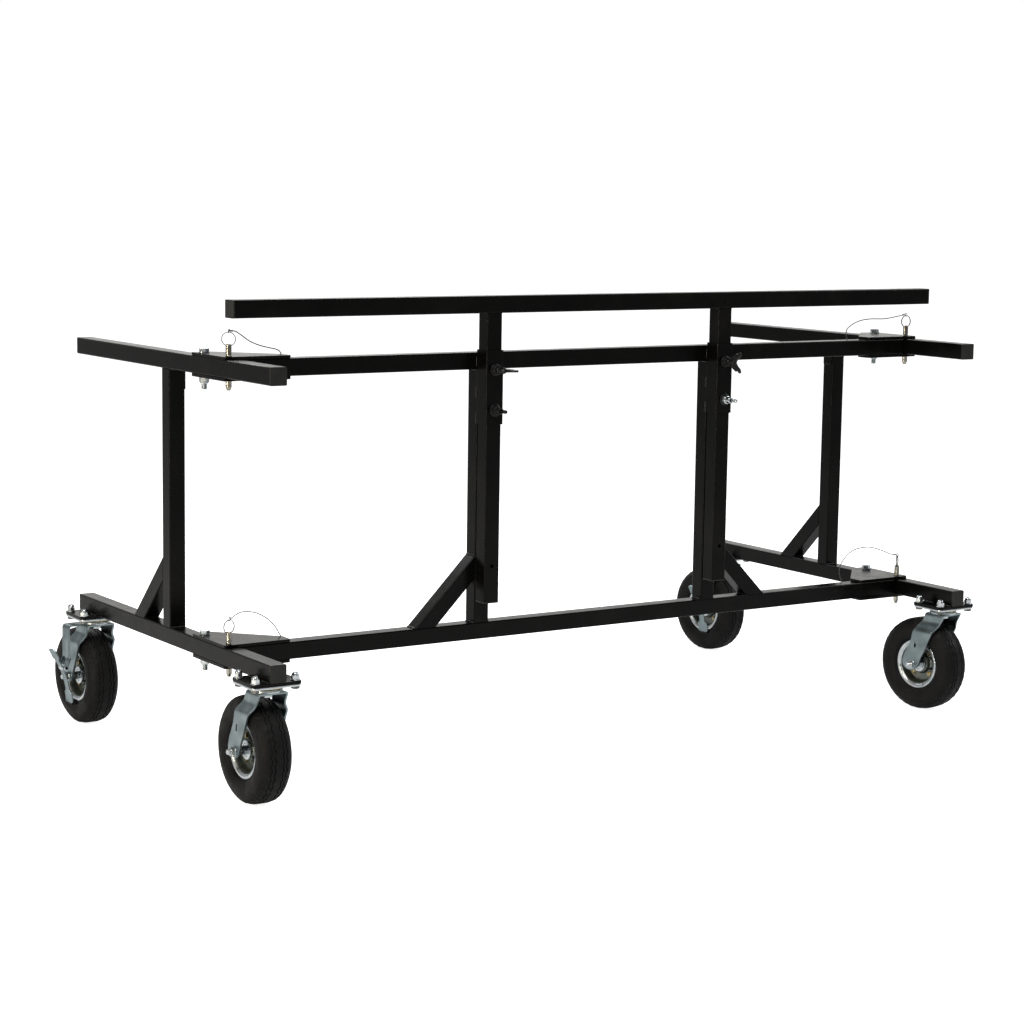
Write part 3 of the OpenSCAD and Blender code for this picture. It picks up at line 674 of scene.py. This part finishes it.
screw_mesh = mesh_of("lanyard_screw", pan_screw(), ZINC)
for key in ROUTES:
    right, rise = corner_of(key)
    place = frame_at(SCREW_IN, TUBE, rise + SCREW_UP, right, -90, "X")
    put("lanyard_screw_" + key, screw_mesh, place, "centre_frame", ["lanyard_screws"])

# ---------- lock pins and split rings ----------

PIN_UP, PIN_DOWN, PIN_R = 70, 27, 6.33
RING_R = 14.5
RING_Z = PIN_UP - 4 + RING_R
EYE_Z = RING_Z + RING_R + 1.5


def pin_shape():
    """Lock pin about Z, from the tube's underside, with a tapered foot."""
    profile = fillet([(0, -PIN_DOWN), (3.9, -PIN_DOWN), (PIN_R, -PIN_DOWN + 7), (PIN_R, TUBE + PLATE_T),
                      (7.6, TUBE + PLATE_T + 0.05), (7.6, TUBE + PLATE_T + 1.2), (PIN_R, TUBE + PLATE_T + 1.3),
                      (PIN_R, PIN_UP - 1.3), (PIN_R - 1.2, PIN_UP), (0, PIN_UP)], 0.5, 3)
    return lathe(profile, 64)


def split_ring():
    """Two-coil split ring in the XZ plane, its middle at the origin."""
    turns = np.linspace(0, 4 * math.pi, 241)
    lean = 0.8 * np.tanh((turns - 2 * math.pi) * 2.2)
    path = np.column_stack([RING_R * np.cos(turns + 0.7), lean, RING_R * np.sin(turns + 0.7)])
    return sweep(path, circle(0.78, 12))


hole = moved(lathe([(0, -10), (2.3, -10), (2.3, 10), (0, 10)], 32),
             shift(0, 0, PIN_UP - 3.3 - 0.5) @ spin(90, "Y"))
pin_mesh = modified("lock_pin", pin_shape(), PIN_ZINC, [], 35, [hole])
ring_mesh = mesh_of("split_ring", split_ring(), WIRE, 60)


def eye_shape(turn, side):
    """Lanyard's end eye about the ring's top, and its neck to the wire."""
    loop = moved(lathe(hoop(3.3, 0, 0.8, 12), 40, True), spin(turn, "Z") @ shift(0, 0, EYE_Z) @ spin(90, "Y"))
    bend = [(0, 0, EYE_Z + 3.3), (2 * side, 0, EYE_Z + 3.7), (4 * side, 0, EYE_Z + 2.7),
            (6.4 * side, 0.1, EYE_Z + 1.7)]
    neck = np.array([curve_at(bend, t) for t in np.linspace(0, 1, 16)])
    return join(loop, sweep(neck, circle(1.1, 12)))


for key, turn in RING_TURN.items():
    right, rise = corner_of(key)
    place = frame_at(HALF, HALF, rise, right, turn)
    put("pin_rod_" + key, pin_mesh, place, "pin_" + key, ["lock_pin_" + key])
    put("split_ring_" + key, ring_mesh, frame_at(HALF, HALF, rise + RING_Z, right, turn), "pin_" + key)
    eye_mesh = mesh_of("lanyard_eye_" + key, eye_shape(turn, -1 if right else 1), WIRE)
    put("lanyard_eye_" + key, eye_mesh, frame_at(HALF, HALF, rise, right), "pin_" + key)

# ---------- knobs and plungers on the sleeves ----------

SLEEVE = 44.45
KNOB_Z, LOCK_Z = 612, 522
HUB_Y = 21


def to_front(shape):
    """Turned shape whose Z points out of the sleeve's front face."""
    return moved(shape, spin(90, "X"))


boss_mesh = mesh_of("knob_boss", to_front(lathe(fillet(
    [(5.1, 0), (13, 0), (13, 2.6), (11.2, 3.2), (11, 11), (10, 12), (5.1, 12)], 0.6, 3), 56, True)), CASTING)
barrel_shape = to_front(lathe(fillet(
    [(4.2, 0), (14, 0), (14, 2.6), (13, 3.2), (9.6, 3.4), (9.5, 11.4), (7.6, 12.4), (7.5, 25), (6.4, 26), (4.2, 26)],
    0.5, 3), 56, True))
plunger_shape = to_front(join(
    lathe(fillet([(0, -2.3), (2.6, -2.3), (4, 0), (4, 22), (0, 22)], 0.4, 2), 32),
    lathe(fillet([(0, 20), (2.5, 20), (2.5, 36.4), (3.9, 36.8), (4.1, 37.8), (4.1, 39.4), (3.1, 40), (3.1, 41.2),
                  (4.1, 41.8), (4.1, 45), (2.9, 47.2), (0, 47.4)], 0.5, 3), 40)))
# The left plunger and barrel are the same zinc hardware as the right ones, drawn in dark casting as painted shade;
# the right barrel's dark flange is its own colour.
lit_and_shaded_plungers = (("l", CASTING), ("r", ZINC))
barrel_meshes = [mesh_of("plunger_barrel_" + key, barrel_shape, material) for key, material in lit_and_shaded_plungers]
plunger_meshes = [mesh_of("plunger_pin_" + key, plunger_shape, material) for key, material in lit_and_shaded_plungers]
recolour(barrel_meshes[1], CASTING, lambda c: math.hypot(c.x, c.z) > 9.7 * MM)


def wing_knob():
    """Cast wing knob about Z, which points out of the sleeve: a hub and two rising wings."""
    wings = []
    for s in (-1, 1):
        outline = []
        for t in np.linspace(-90, 90, 12):
            a = math.radians(t)
            outline.append((s * (20 + 4.4 * math.cos(a)), HUB_Y + 34.4 + 4.6 * math.sin(a)))
        inner = [(s * 14, HUB_Y + 36), (s * 8, HUB_Y + 26), (s * 2, HUB_Y + 21), (s * 1, HUB_Y + 5),
                 (s * 8, HUB_Y + 3), (s * 15, HUB_Y + 11), (s * 21, HUB_Y + 21)]
        line = outline + inner
        if s < 0:
            line = line[::-1]
        points, faces = slab(np.array(line), -4.4, 4.4, 1.5)
        points[:, 2] *= 1 - 0.45 * np.clip((points[:, 1] - HUB_Y - 8) / 26, 0, 1)
        wings.append(moved((points, faces), spin(90, "X")))
    hub = lathe(fillet([(0, HUB_Y - 0.5), (7.8, HUB_Y - 0.5), (7.8, HUB_Y + 2), (7.2, HUB_Y + 14),
                        (5.6, HUB_Y + 17), (0, HUB_Y + 17.2)], 1.2, 4), 56)
    return join(hub, *wings)


def clean_remesh(name, shape, material, voxel):
    """Union of overlapping closed shapes as one smooth casting."""
    return modified(name, shape, material, [
        ("REMESH", {"mode": "VOXEL", "voxel_size": voxel * MM}),
        ("SMOOTH", {"factor": 0.5, "iterations": 6}),
    ], 60)


knob_body = clean_remesh("wing_knob", wing_knob(), CASTING, 0.55)
stud_mesh = mesh_of("knob_stud", thread(4.9, -2.6, HUB_Y + 1, 1.5, 0.8), CASTING)
for i, (key, body) in enumerate((("l", "left"), ("r", "right"))):
    x = UPRIGHTS[i]
    put("knob_boss_" + key, boss_mesh, frame_at(x, -SLEEVE, KNOB_Z), "centre_frame", ["knob_bosses"])
    put("barrel_" + key, barrel_meshes[i], frame_at(x, -SLEEVE, LOCK_Z), "centre_frame", ["plunger_barrels"])
    out = Matrix.Translation(at(x, -SLEEVE, KNOB_Z)) @ spin(0 if i == 0 else 90, "Y") @ spin(90, "X")
    put("wing_knob_" + key, knob_body, out, "knob_" + body, ["knob_" + key])
    put("knob_stud_" + key, stud_mesh, out, "knob_" + body)
    place = frame_at(x, -SLEEVE, LOCK_Z)
    put("plunger_pin_" + key, plunger_meshes[i], place, "plunger_" + body, ["plunger_" + key])

# ---------- casters ----------
# Drawn in millimetres from the kingpin's foot on the floor, the wheel trailing to +Y.

CASTER_H = 268.5
PLATE_LOW = CASTER_H - 5
CROWN_TOP = PLATE_LOW - 12.5
LEAD, WHEEL_R = 56, 115.5
FORK_HALF, NECK_HALF, FORK_T = 47, 35, 4.5
PIVOT = (-78, 148)
BRAKE_Y = 14

plate_shape = slab(round_rect(114.3, 101.6, 12), PLATE_LOW, CASTER_H, 0.9)
bolt_shapes, head_shapes = [], []
for k, (sx, sy) in enumerate([(-1, -1), (1, -1), (1, 1), (-1, 1)]):
    spot = shift(sx * 46, sy * 38, 0) @ spin(17 * k + 8, "Z")
    nut = join(disc(10, DECK, DECK + 2, 0.4, hole=5.2), hex_nut(16, DECK + 2, DECK + 10.4, hole=4.9),
               lathe(fillet([(4.6, DECK + 10), (7.7, DECK + 10), (7.7, DECK + 12.2), (6.4, DECK + 15),
                             (4.6, DECK + 16.4)], 1.4, 4), 48, True),
               moved(thread(4.9, 0, 27, 1.5, 0.9, 24), shift(0, 0, DECK + 16.2) @ spin(180, "X")))
    bolt_shapes.append(moved(nut, spot))
    head_shapes.append(moved(hex_nut(16, PLATE_LOW - 6.4, PLATE_LOW, chamfer_low=True), spot))
race_shape = lathe(fillet([(9, PLATE_LOW + 0.2), (35.5, PLATE_LOW + 0.2), (36, PLATE_LOW - 2.2),
                           (34.6, PLATE_LOW - 5.8), (9, PLATE_LOW - 5.8)], 1.2, 4), 96, True)
kingpin_shape = join(disc(14, CROWN_TOP - 14, CROWN_TOP - 5.6, 1.6), disc(8, CROWN_TOP - 14, PLATE_LOW, 0.3))
crown_shape = lathe(fillet([(9, CROWN_TOP - 1), (33.4, CROWN_TOP - 1), (33.4, CROWN_TOP + 2.6),
                            (31.6, CROWN_TOP + 5.6), (9, CROWN_TOP + 5.8)], 1.2, 4), 96, True)

plate_mesh = mesh_of("caster_plate", plate_shape, ZINC)
nuts_mesh = mesh_of("caster_nuts", join(*bolt_shapes), ZINC)
heads_mesh = mesh_of("caster_heads", join(*head_shapes), WIRE)
race_mesh = mesh_of("swivel_race", race_shape, GOLD)
kingpin_mesh = mesh_of("kingpin", kingpin_shape, ZINC)
crown_mesh = mesh_of("fork_crown_ring", crown_shape, ZINC)

FORK_FRONT = [[-31, 252], [-25, 238], [-13, 217], [0, 194], [11, 170], [21, 150], [29, 134],
              [34, 120], [41, 109], [53, 101]]
FORK_BACK = [[61, 100.5], [75, 104], [84, 114], [84.5, 126], [78, 145], [68, 163], [60.5, 180],
             [57, 196], [51, 210], [42, 222], [32, 236], [27, 252]]


def fork_sheet():
    """The fork's outer skin: its section across the wheel, as wide as its side outline allows."""
    section = fillet([(-FORK_HALF, 101.4), (-FORK_HALF, 206), (-NECK_HALF, 225), (-NECK_HALF, CROWN_TOP),
                      (0, CROWN_TOP)], 7, 5)
    fine = []
    for a, b in zip(section, section[1:]):
        parts = max(1, int(np.linalg.norm(b - a) / 3.0))
        for t in np.linspace(0, 1, parts, endpoint=False):
            fine.append(a + (b - a) * (t ** 1.5 if a[1] < 102 else t))
    fine.append(section[-1])
    line = np.array(fine + [(-x, z) for x, z in fine[-2::-1]])
    front = np.array([curve_at(FORK_FRONT, t) for t in np.linspace(0, 1, 120)])[::-1]
    back = np.array([curve_at(FORK_BACK, t) for t in np.linspace(0, 1, 160)])
    back = back[np.argsort(back[:, 1], kind="stable")]
    rows = []
    for x, z in line:
        y0, y1 = np.interp(z, front[:, 1], front[:, 0]), np.interp(z, back[:, 1], back[:, 0])
        t = np.linspace(0, 1, 19)
        rows.append(np.column_stack([np.full(19, x), y0 + (y1 - y0) * t, np.full(19, z)]))
    return grid(np.array(rows))


def capsule(y, z, half_w, half_h, reach):
    """Upright slot cutter across the fork's legs."""
    ring = []
    for t in np.linspace(0, 2 * math.pi, 32, endpoint=False):
        rise = (half_h - half_w) * (1 if t < math.pi else -1)
        ring.append((half_w * math.cos(t), half_w * math.sin(t) + rise))
    return moved(slab(ring, -reach, reach, 0.1), shift(0, y, z) @ spin(9, "X") @ spin(90, "Y") @ spin(90, "Z"))


fork_mesh = modified("fork_body", fork_sheet(), FORK_ZINC, [
    ("SOLIDIFY", {"thickness": FORK_T * MM, "offset": -1, "use_even_offset": True}),
    ("BEVEL", {"width": 0.9 * MM, "segments": 3, "limit_method": "ANGLE", "angle_limit": math.radians(50)}),
], 40, [capsule(46.5, 168, 3.2, 8.2, 80)])

axle_shape = moved(join(
    hex_nut(18, FORK_HALF, FORK_HALF + 7.5, chamfer_low=False),
    disc(10.5, FORK_HALF, FORK_HALF + 1.2, 0.4),
    disc(11.5, -FORK_HALF - 2.2, -FORK_HALF + 0.05, 0.6, hole=6.2),
    hex_nut(18, -FORK_HALF - 9.6, -FORK_HALF - 1.8, hole=5.6),
    lathe(fillet([(5.8, -FORK_HALF - 9.4), (8.0, -FORK_HALF - 9.4), (7.6, -FORK_HALF - 11),
                  (5.8, -FORK_HALF - 11.4)], 0.8, 3), 40, True),
    thread(5.95, -FORK_HALF - 17, FORK_HALF + 1)), spin(90, "Y"))
axle_mesh = mesh_of("axle_bolt", axle_shape, ZINC)


def bent_strip(line, half_width, y, thick, bend=7.0, dish=None, columns=13):
    """Outer skin and back of a bent strip: a line of (x, z) in the side view, as wide as half_width(s)."""
    path = fillet(line, bend, 6)
    fine = [path[0]]
    for a, b in zip(path, path[1:]):
        parts = max(1, int(np.linalg.norm(b - a) / 2.0))
        fine += [a + (b - a) * t for t in np.linspace(0, 1, parts + 1)[1:]]
    path = np.array(fine)
    travel = np.concatenate([[0], np.cumsum(np.linalg.norm(np.diff(path, axis=0), axis=1))])
    step = np.gradient(path, axis=0)
    normal = np.column_stack([-step[:, 1], step[:, 0]]) / np.linalg.norm(step, axis=1)[:, None]
    side = np.linspace(-1, 1, columns)
    skins = []
    for face in (1, -1):
        rows = []
        for p, n, s in zip(path, normal, travel):
            w = half_width(s, travel[-1])
            lift = dish(s, travel[-1], side) if dish else 0 * side
            off = face * thick / 2 + lift
            rows.append(np.column_stack([p[0] + n[0] * off, y + side * w, p[1] + n[1] * off]))
        skins.append(np.array(rows))
    top, low = skins
    ring = np.concatenate([top, low[:, ::-1]], axis=1)
    points, faces = grid(ring, False, True)
    n = ring.shape[1]
    last = (len(ring) - 1) * n
    for start, flip in ((0, False), (last, True)):
        for k in range(columns - 1):
            quad = [start + k, start + k + 1, start + n - 2 - k, start + n - 1 - k]
            faces.append(quad[::-1] if flip else quad)
    return points, faces


def end_round(s, total, full, radius):
    """Half width that rounds off at both ends of a strip."""
    near = min(s, total - s)
    if near < radius:
        return full - radius + math.sqrt(max(radius ** 2 - (radius - near) ** 2, 0.01))
    return full


EDGE = [("BEVEL", {"width": 0.8 * MM, "segments": 2, "limit_method": "ANGLE",
                   "angle_limit": math.radians(45)})]
OUT, DROP, EAR_Y = PIVOT[0] + 8, PIVOT[1] + 16, 10.5
strap = bent_strip([[-28, CROWN_TOP - 3], [OUT, CROWN_TOP - 3], [OUT, DROP]],
                   lambda s, total: end_round(s, total, 18, 9) if s > total / 2 else 18, BRAKE_Y, 4, 8)
ears = []
for side in (-1, 1):
    y = BRAKE_Y + side * (EAR_Y + 1.5)
    ring = []
    for t in np.linspace(0, 360, 48, endpoint=False):
        a = math.radians(t)
        c = PIVOT if math.sin(a) < 0.3 else (OUT, DROP + 2)
        ring.append((c[0] + 7 * math.cos(a), c[1] + 7 * math.sin(a)))
    ears.append(moved(slab(ring, -1.5, 1.5, 0.5), shift(0, y, 0) @ spin(90, "X")))
pivot_pin = moved(join(disc(4, -17, 17, 0.6, 32), disc(6, -17, -14.2, 0.9, 32), disc(6, 14.2, 17, 0.9, 32)),
                  shift(PIVOT[0], BRAKE_Y, PIVOT[1]) @ spin(90, "X"))
strap_mesh = modified("brake_strap", strap, FORK_ZINC, EDGE, 40)
ears_mesh = mesh_of("brake_ears", join(*ears), FORK_ZINC)
pivot_mesh = mesh_of("brake_pivot", pivot_pin, ZINC)


def lever_half(s, total):
    """Half width of the brake lever along its line: broad pads at both ends, narrow between."""
    pad = 18
    top, foot = 30.0, 30.0
    ease = min(1, max(0, (s - top + 6) / 8)) * min(1, max(0, (total - s - foot + 6) / 8))
    ease = ease * ease * (3 - 2 * ease)
    return end_round(s, total, pad, 7) * (1 - ease) + 9.6 * ease


def lever_dish(s, total, side):
    """How far the pads' edges curl towards the foot that presses them."""
    near = min(s / 26.0, 1) if s < total / 2 else min((total - s) / 26.0, 1)
    curl = max(0.0, 1 - near)
    rim = np.abs(side) ** 4
    return 2.4 * rim * (0.35 + 0.65 * curl) + 2.2 * curl ** 3


lever_line = [[-104, 195], [-94, 168], [-83, 150], [-70, 112], [-66, 90], [-59, 62]]
lever = bent_strip(lever_line[::-1], lever_half, BRAKE_Y, 3.6, 6, lever_dish)
about_pivot = shift(PIVOT[0], BRAKE_Y, PIVOT[1]) @ spin(90, "X")
lever_hub = moved(disc(7.6, -9.8, 9.8, 0.8, 40, hole=4.2), about_pivot)
shoe = moved(slab(round_rect(16, 12, 2.5), -9, 9, 0.8), shift(-54, BRAKE_Y, 62) @ spin(90, "X"))
lever_mesh = modified("brake_lever", lever, FORK_ZINC, EDGE, 40)
hub_mesh = mesh_of("brake_hub", lever_hub, ZINC)
shoe_mesh = mesh_of("brake_shoe", shoe, RUBBER)

# Wheel parts are turned about Z and laid along X.


def wheel_part(shape):
    return moved(shape, spin(90, "Y"))


def rim_shape():
    """Two stamped halves with rolled flanges and deep dishes, meeting in one web."""
    side = [(20.4, 14), (22.5, 13.2), (24.5, 9.5), (26, 5.2), (29, 4.2), (42.5, 4.2), (45.2, 5.6), (47.2, 10),
            (48.6, 21), (50.2, 24.6), (52.6, 25.6), (54.2, 27.4), (57.4, 28.1), (60.2, 28.1), (61.2, 27.2),
            (61.2, 25.6), (59.8, 25.0), (55.2, 25.0), (51.8, 22.4), (50.2, 17), (49.2, 0)]
    out = fillet(side, 1.1, 3)
    back = out[:-1][::-1] * (1, -1)
    loop = np.concatenate([out, back, [(20.4, -12)]])
    return lathe(loop, 128, True)


def hub_shape():
    """Hub tube with bearing shields and inner races."""
    parts = [lathe(fillet([(14.6, -20.5), (20.6, -20.5), (20.6, 20.5), (14.6, 20.5)], 0.7, 3), 72, True)]
    for s in (-1, 1):
        z = [(8.4, 17.4), (14.8, 17.4), (14.8, 19.2), (12.8, 19.6), (8.4, 19.6)]
        parts.append(lathe(fillet([(r, s * h) for r, h in z], 0.5, 3), 64, True))
        c = [(6.1, 12), (9.4, 12), (9.4, 40.6), (8.8, 42.3), (6.1, 42.3)]
        parts.append(lathe(fillet([(r, s * h) for r, h in c], 0.5, 3), 48, True))
    return join(*parts)


def rim_bolts():
    parts = []
    for k in range(4):
        spot = spin(45 + 90 * k, "Z") @ shift(35.5, 0, 0)
        one = join(disc(6.6, 4.2, 5.4, 0.3, 32, hole=4), hex_nut(11, 5.4, 10.6, hole=3.8),
                   moved(thread(4.0, 0, 21, 1.25, 0.7, 24), shift(0, 0, 13.6) @ spin(180, "X")),
                   disc(6.6, -5.4, -4.2, 0.3, 32), hex_nut(11, -10.4, -5.4, chamfer_low=True))
        parts.append(moved(one, spot))
    return join(*parts)


def valve():
    """Tyre valve with its cap, standing out of the dish."""
    stem = lathe(fillet([(0, 0), (3.6, 0), (3.6, 3), (2.7, 5), (2.6, 12), (3.3, 12.4), (3.3, 19),
                         (2.4, 20), (0, 20)], 0.4, 2), 24)
    return moved(stem, spin(80, "Z") @ shift(45.6, 0, 6) @ spin(-14, "Y"))


GROOVES = (-17.2, -9.2, 9.2, 17.2)
# Side of the groove's middle, distance from it, depth.
GROOVE = [(-1, 1.9, 0), (-1, 1.35, 0.5), (-1, 0.85, 2.5), (0, 0, 2.7), (1, 0.85, 2.5), (1, 1.35, 0.5), (1, 1.9, 0)]


def tyre_shape():
    """Tyre with wavy grooves either side of a broad middle rib, and fine sipes on its shoulders."""
    count = 324
    side = [(50.5, 24.2), (60, 24.8), (61.4, 26.6), (63.4, 29.2), (66, 31.6), (67, 32.9), (68, 32.9), (69, 33.4),
            (72, 35.0), (76, 36.2), (80, 37.0), (84, 37.4), (88, 37.5), (92, 37.2), (96, 36.4), (99, 35.4),
            (100, 35.4), (101, 34.4), (104, 32.6), (106.4, 30.9), (108.6, 29.0), (110.4, 27.2), (111.5, 25.6)]
    wall = [(r, -a) for r, a in side]

    def crown(a):
        return WHEEL_R - 0.2 - 3.4 * max(0.0, (abs(a) - 9) / 16) ** 1.7

    stops = []
    for g in GROOVES:
        stops += [(g + s * p, d) for s, p, d in GROOVE]
    places = [(-24.2, 0.0)] + stops + [(24.2, 0.0)]
    full = []
    for (p, dp), (q, _) in zip(places, places[1:]):
        full.append((p, dp))
        if q - p > 3:
            full += [(p + (q - p) * t, 0.0) for t in (0.33, 0.67)]
    full.append(places[-1])
    tread = [(crown(p) - d, p) for p, d in full]
    profile = np.array(wall + tread + side[::-1])
    inner = np.array([(50.5, 18), (50.5, -18)])
    turn = np.linspace(0, 2 * math.pi, count, endpoint=False)
    wave = 1.6 * np.sin(turn * 36)
    radius = np.repeat(profile[:, :1], count, axis=1)
    axial = np.repeat(profile[:, 1:2], count, axis=1)
    fade = np.clip((26.5 - np.abs(profile[:, 1])) / 4.0, 0, 1) * (profile[:, 0] > 104)
    axial = axial + fade[:, None] * wave[None, :]
    column = np.arange(count)
    for row, (r, a) in enumerate(profile):
        if 104 < r < 112 and 25 < abs(a) < 33:
            lag = int(round((33 - abs(a)) / 2.0))
            cut = ((column + (lag if a > 0 else -lag)) % 6) == 0
            radius[row, cut] -= 1.1
            axial[row, cut] -= math.copysign(0.7, a)
    rows = np.stack([radius * np.cos(turn), radius * np.sin(turn), axial], axis=2)
    inside = np.stack([inner[:, :1] * np.cos(turn), inner[:, :1] * np.sin(turn),
                       inner[:, 1:2] + 0 * turn], axis=2)
    return grid(np.concatenate([rows, inside]), True, True)


rim_mesh = mesh_of("wheel_rim", wheel_part(rim_shape()), RIM_ZINC)
recolour(rim_mesh, ZINC, lambda c: math.hypot(c.y, c.z) > 50.6 * MM)
wheel_hub_mesh = mesh_of("wheel_hub", wheel_part(hub_shape()), ZINC)
bolts_mesh = mesh_of("rim_bolts", wheel_part(rim_bolts()), GOLD)
valve_mesh = mesh_of("tyre_valve", wheel_part(moved(valve(), spin(180, "X"))), RUBBER)
tyre_mesh = mesh_of("tyre_tread", wheel_part(tyre_shape()), RUBBER, 38)

for key, right, back in CORNERS:
    y = REAR - PLATE_Y if back else PLATE_Y - REACH
    end = "right_end" if right else "left_end"
    side = "r" if right else "l"
    fixed = frame_at(HALF, y, -DECK, right)
    loose = fixed @ spin(SWIVEL[key], "Z")
    swivel, wheel = "swivel_" + key, "wheel_" + key
    hub = loose @ Matrix.Translation((0, LEAD * MM, WHEEL_R * MM))
    lever = "lever_" + key
    pieces = [
        ("plate", plate_mesh, fixed, end, "caster_plates_" + side),
        ("race", race_mesh, fixed, end, None),
        ("kingpin", kingpin_mesh, fixed, end, None),
        ("nuts", nuts_mesh, fixed, end, "caster_bolts_" + side),
        ("bolt_heads", heads_mesh, fixed, end, None),
        ("fork_body", fork_mesh, loose, swivel, "fork_" + key),
        ("crown_ring", crown_mesh, loose, swivel, None),
        ("axle_bolt", axle_mesh, hub, swivel, "axle_" + key),
        ("tyre_tread", tyre_mesh, hub, wheel, "tyre_" + key),
        ("wheel_rim", rim_mesh, hub, wheel, "rim_" + key),
        ("wheel_hub", wheel_hub_mesh, hub, wheel, None),
        ("rim_bolts", bolts_mesh, hub, wheel, None),
        ("valve", valve_mesh, hub, wheel, None),
    ]
    if back:
        pieces += [
            ("brake_strap", strap_mesh, loose, swivel, None),
            ("brake_ears", ears_mesh, loose, swivel, None),
            ("brake_pivot", pivot_mesh, loose, swivel, None),
            ("brake_lever", lever_mesh, loose, lever, "brake_" + key),
            ("brake_hub", hub_mesh, loose, lever, None),
            ("brake_shoe", shoe_mesh, loose, lever, None),
        ]
    for name, mesh, place, body, node in pieces:
        put(name + "_" + key, mesh, place, body, [node] if node else ())

# ---------- floor and light ----------

def to_camera(tree):
    """1 where the stage is seen directly, 0 where the object is lit by it or reflects it."""
    return tree.nodes.new("ShaderNodeLightPath").outputs["Is Camera Ray"]


def live(sockets, name):
    """The socket of this name that the node's data type uses."""
    return next(k for k in sockets if k.name == name and k.enabled)


floor_mat, floor_shader = node_material("floor_paper", level=0.1)
tree = floor_mat.node_tree
paper = ramp_node(tree, noise_node(tree, 3), [(0.3, (0.78, 0.78, 0.78)), (0.7, (0.81, 0.81, 0.81))])
tree.links.new(paper, floor_shader.inputs["Base Color"])
floor_shader.inputs["Roughness"].default_value = 0.9
floor_shader.inputs["Emission Color"].default_value = (1, 1, 1, 1)
glow = range_node(tree, to_camera(tree), 0.12, 0.9, 0, 1)
tree.links.new(glow, floor_shader.inputs["Emission Strength"])
floor_mesh = bpy.data.meshes.new("floor")
FLOOR_M = 60
floor_mesh.from_pydata([(x * FLOOR_M, y * FLOOR_M, 0) for x, y in ((-1, -1), (1, -1), (1, 1), (-1, 1))],
                       [], [(0, 1, 2, 3)])
floor_mesh.materials.append(floor_mat)
floor = linked("floor", floor_mesh)
floor.location.z = cad_box[0].z - 0.0005

# The backdrop is white; what the object reflects is a dim room with one bright wall.
world = bpy.data.worlds.new("studio")
bpy.context.scene.world = world
world.use_nodes = True
tree = world.node_tree
coords = tree.nodes.new("ShaderNodeTexCoord")
wall = tree.nodes.new("ShaderNodeVectorMath")
wall.operation = "DOT_PRODUCT"
wall.inputs[1].default_value = (0.55, 0.83, 0.08)
tree.links.new(coords.outputs["Generated"], wall.inputs[0])
room = ramp_node(tree, wall.outputs["Value"], [(0.35, (0.15, 0.15, 0.155)), (0.80, (0.95, 0.94, 0.92))])
backdrop = tree.nodes.new("ShaderNodeMix")
backdrop.data_type = "RGBA"
tree.links.new(to_camera(tree), live(backdrop.inputs, "Factor"))
tree.links.new(room, live(backdrop.inputs, "A"))
live(backdrop.inputs, "B").default_value = (1, 1, 1, 1)
tree.links.new(live(backdrop.outputs, "Result"), tree.nodes["Background"].inputs["Color"])


def softbox(name, place, target, size, power, colour=(1, 1, 1)):
    """Rectangular area light that faces a point."""
    lamp = bpy.data.lights.new(name, "AREA")
    lamp.color = colour
    lamp.shape = "RECTANGLE"
    lamp.size, lamp.size_y = size
    lamp.energy = power
    obj = linked(name, lamp)
    obj.location = place
    obj.rotation_euler = (Vector(target) - Vector(place)).to_track_quat("-Z", "Y").to_euler()


softbox("key", (-1.8, -2.4, 4.4), (0, 0, 0.4), (2.4, 2.4), 170)
softbox("fill", (3.6, -1.6, 2.8), (0, 0, 0.5), (1.6, 1.6), 60)
softbox("back", (0.6, 3.4, 3.4), (0, 0, 0.6), (3.0, 1.4), 90)
softbox("strip", (-5.0, -1.1, 0.9), (0, 0, 0.7), (0.16, 2.6), 120, (1, 0.86, 0.66))
bpy.context.scene.view_settings.view_transform = "Standard"
